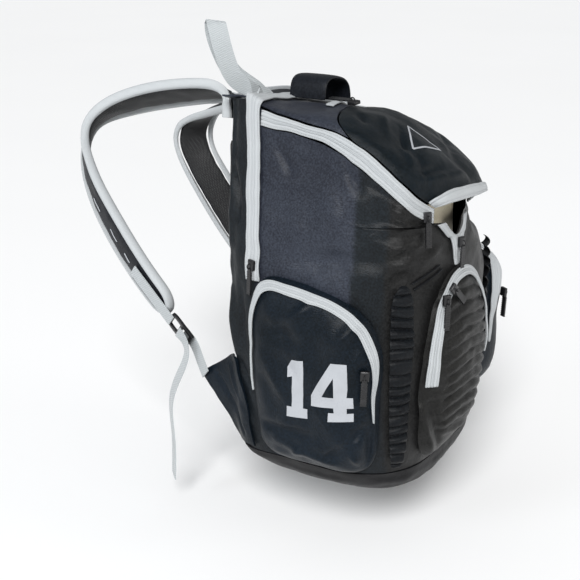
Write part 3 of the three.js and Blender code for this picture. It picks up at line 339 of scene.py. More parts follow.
def meshMaterial():
    # spacer mesh: rows of small round holes over a darker ground
    material, shader, net = newMaterial("spacerMesh", Sheen_Weight=0.25, Sheen_Roughness=0.4)
    place = net.add("ShaderNodeTexCoord").outputs["Object"]
    turned = net.add("ShaderNodeMapping", {"Vector": place})
    turned.inputs["Rotation"].default_value = meshLook["turn"]
    holes = net.add("ShaderNodeTexVoronoi", {"Vector": turned.outputs[0], "Scale": meshLook["holes"],
                                             "Randomness": 0.15})
    grain = net.add("ShaderNodeGroup", node_tree=clothGrain)
    net.tree.links.new(place, grain.inputs["Vector"])
    grain.inputs["Dark"].default_value = (0.004, 0.004, 0.005, 1)
    grain.inputs["Light"].default_value = (0.014, 0.016, 0.018, 1)
    grain.inputs["Matte"].default_value = 0.75
    hole = net.math("GREATER_THAN", holes.outputs["Distance"], meshLook["holeEdge"])
    color = net.mix(hole, grain.outputs["Color"], (0.002, 0.002, 0.003, 1))
    net.tree.links.new(color, shader.inputs["Base Color"])
    net.tree.links.new(grain.outputs["Roughness"], shader.inputs["Roughness"])
    sunk = net.math("MULTIPLY", hole, meshLook["holeDepth"])
    relief(net, shader, net.math("SUBTRACT", grain.outputs["Height"], sunk), meshLook["depth"])
    return material


filmLook = {"clouds": 30.0, "cracks": 260.0, "crackWidth": 0.035, "wornAbove": 0.55, "wornShare": 0.35,
            "depth": 0.0002}


def filmMaterial():
    # printed film: even, a little glossy, with fine crazing and rubbed patches
    material, shader, net = newMaterial("printedFilm", Coat_Weight=0.05)
    place = net.add("ShaderNodeTexCoord").outputs["Object"]
    look = filmLook
    cloud = net.add("ShaderNodeTexNoise", {"Vector": place, "Scale": look["clouds"], "Detail": 6.0,
                                           "Roughness": 0.7})
    cracks = net.add("ShaderNodeTexVoronoi", {"Vector": place, "Scale": look["cracks"]},
                     feature="DISTANCE_TO_EDGE")
    line = net.math("LESS_THAN", cracks.outputs["Distance"], look["crackWidth"])
    worn = net.math("MULTIPLY", line, net.math("GREATER_THAN", cloud.outputs[0], look["wornAbove"]))
    worn = net.math("MULTIPLY", worn, look["wornShare"])
    tone = net.mix(cloud.outputs[0], (0.34, 0.355, 0.38, 1), (0.41, 0.425, 0.45, 1))
    net.tree.links.new(net.mix(worn, tone, (0.25, 0.26, 0.3, 1)), shader.inputs["Base Color"])
    net.tree.links.new(net.math("MULTIPLY_ADD", cloud.outputs[0], 0.25, 0.42), shader.inputs["Roughness"])
    relief(net, shader, net.math("SUBTRACT", cloud.outputs[0], net.math("MULTIPLY", line, 0.3)), look["depth"])
    return material


plasticLook = {"grain": 1400.0, "scuffs": 90.0, "depth": 0.00012,
               "colors": ((0.006, 0.006, 0.007, 1), (0.03, 0.03, 0.033, 1))}


def plasticMaterial():
    material, shader, net = newMaterial("mouldedPlastic", Specular_IOR_Level=0.5)
    place = net.add("ShaderNodeTexCoord").outputs["Object"]
    look = plasticLook
    grain = net.add("ShaderNodeTexNoise", {"Vector": place, "Scale": look["grain"], "Detail": 2.0})
    scuff = net.add("ShaderNodeTexNoise", {"Vector": place, "Scale": look["scuffs"], "Detail": 5.0,
                                           "Roughness": 0.7})
    worn = net.add("ShaderNodeClamp", {0: net.math("MULTIPLY_ADD", scuff.outputs[0], 3.0, -1.6)}).outputs[0]
    net.tree.links.new(net.mix(worn, *look["colors"]), shader.inputs["Base Color"])
    net.tree.links.new(net.math("MULTIPLY_ADD", scuff.outputs[0], 0.3, 0.22), shader.inputs["Roughness"])
    relief(net, shader, grain.outputs[0], look["depth"])
    return material


def floorMaterial():
    material, shader, net = newMaterial("paleFloor", Roughness=0.9)
    place = net.add("ShaderNodeTexCoord").outputs["Object"]
    cloud = net.add("ShaderNodeTexNoise", {"Vector": place, "Scale": studio["floorCloud"], "Detail": 2.0})
    net.tree.links.new(net.mix(cloud.outputs[0], *studio["floorColors"]), shader.inputs["Base Color"])
    return material


softSheen = {"Sheen_Weight": 0.02, "Sheen_Roughness": 0.4, "Specular_IOR_Level": 0.15}
finishes = {"bodyCloth": bodyMaterial()}
# name: dark color, light color, threads per metre, crumple, matte
for name, dark, light, threads, crumple, matte in (
    ("pocketCloth", (0.001, 0.003, 0.005), (0.006, 0.011, 0.018), 900.0, 1.1, 0.38),
    ("lidCloth", (0.001, 0.003, 0.004), (0.005, 0.009, 0.013), 900.0, 1.3, 0.40),
    ("quiltCloth", (0.005, 0.005, 0.005), (0.017, 0.017, 0.016), 900.0, 0.9, 0.40),
    ("gatherCloth", (0.002, 0.002, 0.003), (0.006, 0.008, 0.010), 900.0, 1.0, 0.42),
    ("handleCloth", (0.003, 0.004, 0.006), (0.011, 0.013, 0.018), 600.0, 0.5, 0.5),
    ("baseCloth", (0.003, 0.003, 0.004), (0.011, 0.011, 0.012), 500.0, 0.5, 0.52),
):
    finishes[name] = clothMaterial(name, dark, light, threads, crumple, matte, **softSheen)
finishes["liningCloth"] = clothMaterial("liningCloth", (0.72, 0.64, 0.46), (0.88, 0.80, 0.62), crumple=0.6,
                                        matte=0.6, Sheen_Weight=0.3)
finishes["zipTape"] = stripMaterial("zipTape", (0.44, 0.46, 0.47), (0.29, 0.31, 0.33), Sheen_Weight=0.1)
finishes["bindingTape"] = stripMaterial("bindingTape", (0.44, 0.46, 0.47), (0.29, 0.31, 0.33), pitch=0.0015,
                                        Sheen_Weight=0.1)
finishes["grayWebbing"] = stripMaterial("grayWebbing", (0.46, 0.49, 0.50), (0.27, 0.29, 0.31), pitch=0.0022,
                                        row=0.003, soil=0.35, depth=0.0007, Sheen_Weight=0.2)
finishes["spacerMesh"] = meshMaterial()
finishes["printedFilm"] = filmMaterial()
finishes["mouldedPlastic"] = plasticMaterial()
print("Materials made")


# the way the empty bag hangs: one field of folds that every piece on it follows
bagHang = {
    "middleDepth": -0.2,
    "crownHeight": -0.12,
    "crownPull": 3.0,
    # size of the soft dents in metres, and how deep they go
    "dents": [(0.085, 0.0040), (0.036, 0.0026), (0.017, 0.0010)],
    # the dents' own part of the noise, the share of a fold's rise that its ends keep,
    # and how many half widths off a fold still move
    "dentPhase": (90, 3.1, 7.7),
    "endShare": 0.45,
    "cutOff": 3,
    "foldStrength": 2.0,
    # start, end, half width, rise in millimetres (positive stands out, negative goes in)
    "folds": [
        ((-122, -142, -41), (-127, -163, -71), 7, -3.5),
        ((-123, -240, -56), (-126, -253, -83), 7, -3.5),
        ((-148, -188, -173), (-133, -285, -161), 13, -4),
        ((-114, -292, -102), (-105, -303, -114), 8, 3.5),
        ((-123, -295, -148), (-94, -317, -144), 8, 3.5),
        ((-134, -297, -186), (-108, -316, -178), 5, -4.5),
        ((-128, -299, -168), (-106, -313, -164), 7, 3),
        ((-119, -76, -77), (-139, -92, -132), 6, -4.5),
        ((-130, -72, -100), (-139, -80, -166), 7, 3.5),
        ((-142, -86, -228), (-150, -99, -303), 7, 3.5),
        ((-148, -105, -220), (-152, -112, -290), 5, -3),
        ((-132, -218, -97), (-142, -244, -151), 12, 2),
        ((-134, -180, -114), (-145, -180, -160), 14, 2),
        ((-98, -312, -134), (-118, -304, -162), 7, -3),
        ((-91, -323, -167), (-61, -328, -157), 6, 3),
        # the left side pocket
        ((-171, -212, -217), (-174, -192, -239), 7, 3.2),
        ((-164, -272, -230), (-180, -255, -255), 8, 3),
        ((-176, -163, -250), (-179, -193, -263), 13, -4.5),
        ((-170, -146, -382), (-177, -217, -381), 6, -3),
        ((-168, -185, -425), (-175, -210, -396), 6, 3),
        ((-163, -283, -362), (-172, -239, -409), 6, -4.5),
        ((-158, -292, -356), (-150, -285, -415), 6, -4),
        ((-179, -262, -300), (-170, -280, -272), 9, 2),
        ((-176, -230, -250), (-180, -215, -300), 10, -2.5),
        ((-172, -160, -300), (-178, -185, -345), 9, 2.5),
        ((-173, -170, -400), (-172, -250, -415), 7, 2.8),
        ((-165, -270, -395), (-160, -285, -425), 5, 2.6),
        # the front pocket
        ((-98, -325, -350), (-70, -330, -425), 7, 5),
        ((-88, -338, -345), (-55, -342, -420), 6, -4.5),
        ((-60, -345, -395), (10, -345, -405), 6, 2.5),
        ((-45, -345, -418), (30, -340, -412), 5, -3),
        # the left wing
        ((-140, -77, -333), (-149, -115, -395), 4, 2.8),
        ((-132, -53, -349), (-150, -106, -414), 4, -2.8),
        ((-151, -103, -315), (-153, -127, -363), 4, -2.8),
        # the lid
        ((-98, -245, -30), (-70, -225, -6), 6, -3),
        ((-45, -242, -13), (-90, -268, -45), 6, 3.2),
        ((-35, -262, -19), (-88, -290, -60), 5, -3.6),
        ((-71, -282, -42), (-90, -303, -78), 6, 3),
        ((-62, -298, -54), (-78, -316, -90), 6, -2.5),
        ((-78, -313, -75), (17, -322, -85), 6, 2.5),
        ((-85, -303, -63), (-37, -313, -67), 5, -2.2),
        ((30, -300, -75), (85, -260, -60), 8, -3),
        # the right side, where the empty top has sunk
        ((125, -170, -130), (138, -250, -150), 10, -4.5),
        ((135, -150, -165), (142, -260, -180), 8, 3.5),
        ((60, -318, -150), (110, -290, -165), 8, -3.5),
    ],
    # narrow seams, in millimetres too
    "seams": [
        ((-122, -286, -75), (-137, -293, -190), 2.2, -1.2),
        ((-128, -250, -55), (-149, -262, -190), 2.2, -1),
    ],
}


def outwardAt(point):
    rise = max(0.0, point.z - bagHang["crownHeight"]) * bagHang["crownPull"]
    return Vector((point.x, point.y - bagHang["middleDepth"], rise)).normalized()


def nearShare(point, start, end):
    # the share along a line, and how far off it the point is
    line = end - start
    share = max(0.0, min(1.0, (point - start).dot(line) / line.length_squared))
    return share, (point - start - line * share).length


def foldRow(start, end, width, rise):
    # start, end, half width, rise, middle and half length of a fold in metres
    a, b = (Vector([value / 1000 for value in point]) for point in (start, end))
    return a, b, width / 1000, rise / 1000 * bagHang["foldStrength"], (a + b) / 2, (a - b).length / 2


foldTable = [foldRow(*row) for row in bagHang["folds"] + bagHang["seams"]]


def hangOffset(point, dentScale=1.0):
    amount = 0.0
    spread, *rest = bagHang["dentPhase"]
    for size, depth in bagHang["dents"]:
        amount += noise.noise(point / size + Vector((size * spread, *rest))) * depth * dentScale
    for start, end, width, rise, middle, reach in foldTable:
        if (point - middle).length > reach + width * bagHang["cutOff"]:
            continue
        share, away = nearShare(point, start, end)
        taper = bagHang["endShare"] + (1 - bagHang["endShare"]) * math.sin(math.pi * min(1.0, max(0.0, share)))
        amount += rise * taper * math.exp(-((away / width) ** 2))
    return outwardAt(point) * amount


# tools that turn a solid of the frame into a soft, dressed piece
def only(obj):
    bpy.ops.object.select_all(action="DESELECT")
    bpy.context.view_layer.objects.active = obj
    obj.select_set(True)


def withMesh(name, mesh):
    obj = bpy.data.objects.new(name, mesh)
    bpy.context.scene.collection.objects.link(obj)
    return obj


def applyModifier(obj, kind, **settings):
    only(obj)
    modifier = obj.modifiers.new(kind.title(), kind)
    for key, value in settings.items():
        setattr(modifier, key, value)
    bpy.ops.object.modifier_apply(modifier=modifier.name)


def softCopy(nodeName, levels, sharp=50.0, crease=1.0):
    levels = levels
    mesh = nodes[nodeName].data.copy()
    mesh.materials.clear()
    obj = withMesh(nodeName + "_soft", mesh)
    work = bmesh.new()
    work.from_mesh(mesh)
    bmesh.ops.remove_doubles(work, verts=work.verts, dist=1e-6)
    creases = work.edges.layers.float.get("crease_edge") or work.edges.layers.float.new("crease_edge")
    for edge in work.edges:
        if len(edge.link_faces) == 2 and edge.calc_face_angle(0.0) > math.radians(sharp):
            edge[creases] = crease
            edge.smooth = False
    bmesh.ops.join_triangles(work, faces=work.faces, angle_face_threshold=math.radians(40),
                             angle_shape_threshold=math.pi, cmp_sharp=True)
    work.to_mesh(mesh)
    work.free()
    applyModifier(obj, "SUBSURF", levels=levels, render_levels=levels)
    return obj


def shapePiece(obj, extra=None, dentScale=1.0):
    # every vertex follows the bag's own folds, then the piece's own relief
    for vertex in obj.data.vertices:
        place = vertex.co.copy()
        move = hangOffset(place, dentScale)
        if extra:
            move += extra(place, vertex.normal)
        vertex.co = place + move
    obj.data.update()


def addAttribute(obj, values, grooveShades=None):
    layer = obj.data.attributes.new("strip", "FLOAT_VECTOR", "POINT")
    layer.data.foreach_set("vector", [number for value in values for number in value])
    # the groove layer holds painted shade: how much each point darkens in a groove
    layer = obj.data.attributes.new("groove", "FLOAT", "POINT")
    layer.data.foreach_set("value", grooveShades or [0.0] * len(values))


def dress(obj, *replaced, finish, slot, padFill=None, flat=None, held="stretched"):
    if not obj.data.materials:
        obj.data.materials.append(finishes[finish])
    for polygon in obj.data.polygons:
        polygon.use_smooth = True
    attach(obj, "root")
    if replaced:
        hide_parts(*replaced)
    return obj


makeStudio()
bpy.ops.mesh.primitive_plane_add(size=studio["floorSide"], location=(0, 0, studio["floorHeight"]))
floor = bpy.context.object
floor.name = "paleFloorPlane"
bpy.ops.object.transform_apply(location=True)
floor.data.materials.append(floorMaterial())
print("Studio set up")

# body panels
quilt = {
    "front": -0.325, "top": -0.203, "pitch": 0.0152, "rows": 12, "depth": 0.0034, "left": -0.078, "fade": 0.012,
    "middle": -0.02, "curve": 2.2, "wander": 0.006, "wanderScale": 12, "round": 0.8, "level": 0.55,
    "ripple": 0.8, "rippleAcross": 55, "rippleRow": 1.7, "flatFrom": 0.358, "flatTo": 0.398, "flatShare": 0.6,
}
gather = {"pitch": 0.0135, "depth": 0.0036, "small": (0.004, 28), "large": (0.006, 10, 22), "round": 0.6,
          "sink": 1.6}
backPad = {"rows": 0.052, "firstRow": 0.05, "columns": 0.055, "depth": 0.0035, "grooveWidth": 0.16}
baseWrinkle = {"depth": 0.0016, "across": 20, "up": 90}
# a panel's edges are bands across which its color changes, by depth from the wearer; the darker panels carry
# painted shade
panels = {"lean": 0.02, "leanFrom": 0.19, "strip": (0.252, 0.256), "corner": (0.2885, 0.2925),
          "gusset": (-0.002, 0.002), "zipperSide": 0.1}
evened = {"low": (-0.15, -0.34, -0.30), "high": (0.15, -0.20, -0.09), "turns": 14, "quickTurns": 4}


def smoothStep(value, low, high):
    share = max(0.0, min(1.0, (value - low) / (high - low)))
    return share * share * (3 - 2 * share)


def quiltRelief(place, normal):
    # puffed rows between curved lines of stitching on the front face only
    if place.y > quilt["front"]:
        return Vector()
    wander = quilt["wander"] * noise.noise(place * quilt["wanderScale"])
    drop = quilt["curve"] * (place.x - quilt["middle"]) ** 2 + wander
    row = (quilt["top"] - place.z - drop) / quilt["pitch"]
    if row < 0 or row > quilt["rows"]:
        return Vector()
    share = row % 1.0
    puff = math.sin(math.pi * share) ** quilt["round"] - quilt["level"]
    edge = smoothStep(place.x, quilt["left"], quilt["left"] + quilt["fade"])
    low = 1 - smoothStep(-place.z, quilt["flatFrom"], quilt["flatTo"]) * quilt["flatShare"]
    ripple = Vector((place.x * quilt["rippleAcross"], row * quilt["rippleRow"], 4.0))
    ripple = quilt["ripple"] * noise.noise(ripple)
    return outwardAt(place) * (puff + ripple * puff) * quilt["depth"] * edge * low


def gatherRelief(place, normal):
    # elastic draws the panel into short level puckers
    small, often = gather["small"]
    large, across, up = gather["large"]
    bend = small * noise.noise(place * often)
    bend += large * noise.noise(Vector((place.x * across, place.y * across, place.z * up)))
    row = (place.z + bend) / gather["pitch"]
    pucker = 1 - abs(math.sin(math.pi * row)) ** gather["round"] * gather["sink"]
    return outwardAt(place) * -pucker * gather["depth"]


def backPadRelief(place, normal):
    # crossed grooves on the side that faces the wearer
    row = abs(math.sin(math.pi * (place.z + backPad["firstRow"]) / backPad["rows"]))
    column = abs(math.sin(math.pi * place.x / backPad["columns"]))
    groove = math.exp(-(min(row, column) / backPad["grooveWidth"]) ** 2)
    return Vector((0, -1, 0)) * groove * backPad["depth"] * (1 if normal.y > 0 else 0)


def baseRelief(place, normal):
    across, up = baseWrinkle["across"], baseWrinkle["up"]
    wrinkle = noise.noise(Vector((place.x * across, place.y * across, place.z * up)))
    return outwardAt(place) * baseWrinkle["depth"] * wrinkle


def markPanels(obj):
    # the side panel ends at two upright seams before the front corner, and at the back zipper; past them the
    # cloth takes painted shade
    layer = obj.data.attributes.new("panel", "FLOAT", "POINT")
    seam = [v.co for v in nodes["back_zipper"].data.vertices if abs(v.co.x) > panels["zipperSide"]]
    meanZ, meanY = (sum(place[axis] for place in seam) / len(seam) for axis in (2, 1))
    lean = (sum((place.z - meanZ) * (place.y - meanY) for place in seam)
            / sum((place.z - meanZ) ** 2 for place in seam))
    values = []
    for vertex in obj.data.vertices:
        depth = -vertex.co.y + panels["lean"] * (vertex.co.z + panels["leanFrom"])
        behind = vertex.co.y - meanY - lean * (vertex.co.z - meanZ)
        values.append(smoothStep(depth, *panels["strip"]) + smoothStep(depth, *panels["corner"])
                      + smoothStep(behind, *panels["gusset"]))
    layer.data.foreach_set("value", values)


def evenOut(obj, low, high, turns):
    # rubs out the flat facets of a region, wall and lining together
    work = bmesh.new()
    work.from_mesh(obj.data)
    inside = [v for v in work.verts if all(low[i] < v.co[i] < high[i] for i in range(3))
              and not any(not e.smooth for e in v.link_edges)]
    for _ in range(turns):
        bmesh.ops.smooth_vert(work, verts=inside, factor=0.5, use_axis_x=True, use_axis_y=True, use_axis_z=True)
    work.to_mesh(obj.data)
    work.free()


def bodyPiece(nodeName, finish, slot="nylon", extra=None, dentScale=1.0, padFill=None, levels=3, **edges):
    piece = softCopy(nodeName, levels, **edges)
    shapePiece(piece, extra, dentScale)
    return dress(piece, nodeName, finish=finish, slot=slot, padFill=padFill)


shell = softCopy("main_shell", 3, sharp=78)
evenOut(shell, evened["low"], evened["high"], evened["turns"])
shapePiece(shell)
markPanels(shell)
dress(shell, "main_shell", finish="bodyCloth", slot="nylon")
bodyPiece("base_boot", "baseCloth", extra=baseRelief)
bodyPiece("top_panel", "bodyCloth")
lid = bodyPiece("lid", "lidCloth")
bodyPiece("back_panel", "spacerMesh", "mesh_pad", backPadRelief, 0.5, 0.7)
for side in ("left", "right"):
    bodyPiece("side_pocket_" + side, "pocketCloth")
    bodyPiece("corner_gather_" + side, "gatherCloth", extra=gatherRelief, levels=4, sharp=100)
    bodyPiece("wing_" + side, "pocketCloth")
bodyPiece("front_pocket", "quiltCloth", "quilt", quiltRelief, padFill=0.4)
print("Body panels shaped")


# zippers: two rails are read from a tape's solid, and a profiled tape is drawn between them
# each row: share of the way across, height above the tape in metres, how much painted shade darkens the groove
# there
zipProfile = [
    (0.00, 0.0000, 0), (0.03, 0.0007, 0), (0.11, 0.0007, 0), (0.14, 0.0001, 0.5), (0.17, 0.0008, 0),
    (0.26, 0.0009, 0), (0.36, 0.0009, 0), (0.395, -0.0004, 0.8), (0.43, 0.0010, 0), (0.475, 0.0014, 0),
    (0.50, 0.0005, 0.7), (0.525, 0.0014, 0), (0.57, 0.0010, 0), (0.605, -0.0004, 0.8), (0.64, 0.0009, 0),
    (0.74, 0.0009, 0),
    (0.83, 0.0008, 0), (0.86, 0.0001, 0.5), (0.89, 0.0007, 0), (0.97, 0.0007, 0), (1.00, 0.0000, 0),
]
bandProfile = [
    (0.00, 0.0000, 0), (0.06, 0.0009, 0), (0.15, 0.0011, 0), (0.21, 0.0004, 0.6), (0.27, 0.0012, 0),
    (0.50, 0.0014, 0), (0.73, 0.0012, 0), (0.79, 0.0004, 0.6), (0.85, 0.0011, 0), (0.94, 0.0009, 0),
    (1.00, 0.0000, 0),
]
tapes = {
    "spacing": 0.0016, "rib": 0.00022, "under": 0.0007, "lift": 0.0006, "coil": (0.42, 0.58), "steps": 12,
    "middle": (0, -0.2, -0.25), "pairing": 1.7, "weldWithin": 1e-6,
    # how far each tape with a coil runs on past its two ends
    "reach": {
        "main_zipper_left": (0.006, 0.002), "main_zipper_right": (0.006, 0.002), "back_zipper": (0.008, 0.008),
        "top_pocket_zipper": (0.0, 0.0), "side_pocket_zipper_left": (0.0, 0.0),
        "side_pocket_zipper_right": (0.0, 0.0), "front_pocket_zipper": (0.0, 0.0),
    },
    # how much wider each plain tape lies than its solid
    "widen": {"lid_tape": 1.0, "mouth_zipper_left": 1.5, "mouth_zipper_right": 1.4},
}


def ringSkin(name, verts, ring, cutEnds):
    # joins rows of one ring each into a closed skin
    last = len(verts) - ring
    faces = []
    for row in range(0, last, ring):
        for c in range(ring):
            n = (c + 1) % ring
            faces.append((row + c, row + n, row + ring + n, row + ring + c))
    faces.append(tuple(range(ring)))
    faces.append(tuple(last + c for c in reversed(range(ring))))
    mesh = bpy.data.meshes.new(name)
    mesh.from_pydata(verts, [], faces)
    obj = withMesh(name, mesh)
    work = bmesh.new()
    work.from_mesh(mesh)
    bmesh.ops.recalc_face_normals(work, faces=work.faces)
    if cutEnds:
        bmesh.ops.triangulate(work, faces=[f for f in work.faces if len(f.verts) > 4])
    work.to_mesh(mesh)
    work.free()
    return obj


def railsOf(nodeName):
    work = bmesh.new()
    work.from_mesh(nodes[nodeName].data)
    bmesh.ops.remove_doubles(work, verts=work.verts, dist=tapes["weldWithin"])
    # the outer vertex of each close pair faces away from the bag
    outer = set()
    places = [v.co.copy() for v in work.verts]
    for i, place in enumerate(places):
        out = outwardAt(place)
        # the vertex through the thickness is near, and lies along the way out
        other = min((place - p for p in places if p is not place),
                    key=lambda d: d.length * (tapes["pairing"] - abs(d.normalized().dot(out))))
        if other.dot(out) > 0:
            outer.add(i)
    work.verts.ensure_lookup_table()
    faces = [f for f in work.faces if all(v.index in outer for v in f.verts)]
    inFaces = set(faces)
    borders = {}
    for face in faces:
        for edge in face.edges:
            if sum(1 for f in edge.link_faces if f in inFaces) == 1:
                a, b = (v.index for v in edge.verts)
                borders.setdefault(a, []).append(b)
                borders.setdefault(b, []).append(a)
    loop = [next(iter(sorted(borders)))]
    while True:
        following = [n for n in borders[loop[-1]] if n not in loop[-2:]]
        if not following or following[0] == loop[0] and len(loop) > 2:
            break
        loop.append(following[0])
        if len(loop) > len(places):
            break
    # a tape with a middle line has one more vertex at each end
    count = len(loop)
    ends = 1 if len(outer) > count else 0
    half = count // 2 - ends
    best = None
    for start in range(count):
        first = [loop[(start - i) % count] for i in range(half)]
        second = [loop[(start + 1 + ends + i) % count] for i in range(half)]
        width = sum((places[a] - places[b]).length for a, b in zip(first, second))
        if best is None or width < best[0]:
            best = (width, first, second)
    work.free()
    return [places[i] for i in best[1]], [places[i] for i in best[2]]


def smoothLine(points):
    # a Catmull-Rom line through the points
    fine = []
    for i in range(len(points) - 1):
        p0, p1 = points[max(0, i - 1)], points[i]
        p2, p3 = points[i + 1], points[min(len(points) - 1, i + 2)]
        for step in range(tapes["steps"]):
            t = step / tapes["steps"]
            fine.append(0.5 * (2 * p1 + (p2 - p0) * t + (2 * p0 - 5 * p1 + 4 * p2 - p3) * t * t
                               + (3 * p1 - p0 - 3 * p2 + p3) * t ** 3))
    fine.append(points[-1])
    return fine


def evenPair(first, second, spacing):
    fineA, fineB = smoothLine(first), smoothLine(second)
    lengths = [0.0]
    for i in range(1, len(fineA)):
        step = ((fineA[i] + fineB[i]) - (fineA[i - 1] + fineB[i - 1])).length / 2
        lengths.append(lengths[-1] + step)
    count = max(2, round(lengths[-1] / spacing))
    rows, at = [], 0
    for k in range(count + 1):
        target = lengths[-1] * k / count
        while at < len(lengths) - 2 and lengths[at + 1] < target:
            at += 1
        span = lengths[at + 1] - lengths[at]
        share = (target - lengths[at]) / span if span else 0
        rows.append((fineA[at].lerp(fineA[at + 1], share), fineB[at].lerp(fineB[at + 1], share), target))
    return rows


def longer(rail, reach):
    # carries a rail on past its lower or front end, and past its other end
    first = rail[0] + (rail[0] - rail[1]).normalized() * reach[0]
    last = rail[-1] + (rail[-1] - rail[-2]).normalized() * reach[1]
    return [first] + rail[1:-1] + [last]


def tapePiece(nodeName, profile, ribbed=True, reach=(0.0, 0.0), widen=1.0):
    first, second = railsOf(nodeName)
    if sum(p.y for p in (first[0], second[0])) < sum(p.y for p in (first[-1], second[-1])):
        first.reverse()
        second.reverse()
    first, second = longer(first, reach), longer(second, reach)
    rows = evenPair(first, second, tapes["spacing"])
    middle = Vector(tapes["middle"])
    coilStart, coilEnd = tapes["coil"]
    verts, strip, grooveShades = [], [], []
    for k, (a, b, along) in enumerate(rows):
        ahead = rows[min(len(rows) - 1, k + 1)]
        behind = rows[max(0, k - 1)]
        forward = (ahead[0] + ahead[1] - behind[0] - behind[1]).normalized()
        across = (b - a) * widen
        a = (a + b - across) / 2
        up = forward.cross(across).normalized()
        if up.dot((a + b) / 2 - middle) < 0:
            up = -up
        for share, height, dark in profile:
            rib = tapes["rib"] * (k % 2) if ribbed and coilStart < share < coilEnd else 0.0
            place = a + across * share
            place = place + hangOffset(place) + up * (height - rib + tapes["lift"])
            verts.append(place)
            strip.append((share * across.length, along, min(share, 1 - share) * across.length))
            # the profile's third value is painted shade in the grooves
            grooveShades.append(dark)
        for share in (1.0, 0.0):
            place = a + across * share
            verts.append(place + hangOffset(place) - up * tapes["under"])
            strip.append((share * across.length, along, 0.0))
            grooveShades.append(0.0)
    # two more vertices in each ring close the underside
    obj = ringSkin(nodeName + "_drawn", verts, len(profile) + 2, cutEnds=True)
    addAttribute(obj, strip, grooveShades)
    return dress(obj, nodeName, finish="zipTape", slot="tape")


for nodeName, reach in tapes["reach"].items():
    tapePiece(nodeName, zipProfile, reach=reach)
for nodeName, widen in tapes["widen"].items():
    tapePiece(nodeName, bandProfile, ribbed=False, widen=widen)
print("Zippers drawn")


# webbing, straps, handle and loop
straps = {"loopMiddle": (0.0, 0.06, -0.12), "ripple": 0.0012, "rippleScale": 55, "mapLean": 0.6,
          "mapEdge": 0.003}


def stripMap(obj):
    # distance along the piece's long way and across it, for its weave and its stitches
    points = [v.co for v in obj.data.vertices]
    addAttribute(obj, [(p.x, p.z + p.y * straps["mapLean"], straps["mapEdge"]) for p in points])


def strapRelief(place, normal):
    return normal * straps["ripple"] * noise.noise(place * straps["rippleScale"])


for side in ("left", "right"):
    strap = softCopy("strap_" + side, 3, sharp=60)
    for vertex in strap.data.vertices:
        vertex.co = vertex.co + strapRelief(vertex.co, vertex.normal)
    strap.data.materials.append(finishes["handleCloth"])
    strap.data.materials.append(finishes["spacerMesh"])
    loopMiddle = Vector(straps["loopMiddle"])
    for polygon in strap.data.polygons:
        away = polygon.center - loopMiddle
        away.x = 0
        polygon.material_index = 0 if polygon.normal.dot(away) > 0 else 1
    dress(strap, "strap_" + side, finish="spacerMesh", slot="mesh_pad", padFill=0.8)
    binding = softCopy("strap_binding_" + side, 2, sharp=75, crease=0.6)
    stripMap(binding)
    dress(binding, "strap_binding_" + side, finish="bindingTape", slot="tape")
    for nodeName in ("strap_webbing_" + side, "lower_webbing_" + side, "strap_tail_" + side):
        web = softCopy(nodeName, 3)
        stripMap(web)
        dress(web, nodeName, finish="grayWebbing", slot="webbing")
    buckle = softCopy("buckle_" + side, 2, crease=0.85)
    dress(buckle, "buckle_" + side, finish="mouldedPlastic", slot="plastic")
handle = softCopy("grab_handle", 3, crease=0.5)
dress(handle, "grab_handle", finish="handleCloth", slot="nylon", padFill=0.5)
hangLoop = softCopy("hang_loop", 3)
stripMap(hangLoop)
dress(hangLoop, "hang_loop", finish="grayWebbing", slot="webbing")
print("Straps and webbing shaped")

# sliders with ribbed pulls
slider = {
    "body": (0.0105, 0.0125, 0.0042), "faceInset": 0.0018, "faceRise": 0.0008, "bodyEdge": 0.0006,
    "bail": 0.0036, "bailWire": 0.0008, "bailAt": 0.62, "bailRise": 0.0004,
    "pullAt": 0.8, "pullRise": 0.0006, "pullWidth": 0.0084, "pullThick": 0.0032, "pullEdge": 0.0003,
    "shortest": 0.012, "longer": 0.006, "ribs": 9, "ribStart": 0.12, "ribSpan": 0.8, "ribDepth": 0.0009,
    "ribThin": 0.6, "beadSink": 0.8, "neck": 0.62, "smoothBelow": math.radians(35), "turns": 40,
}


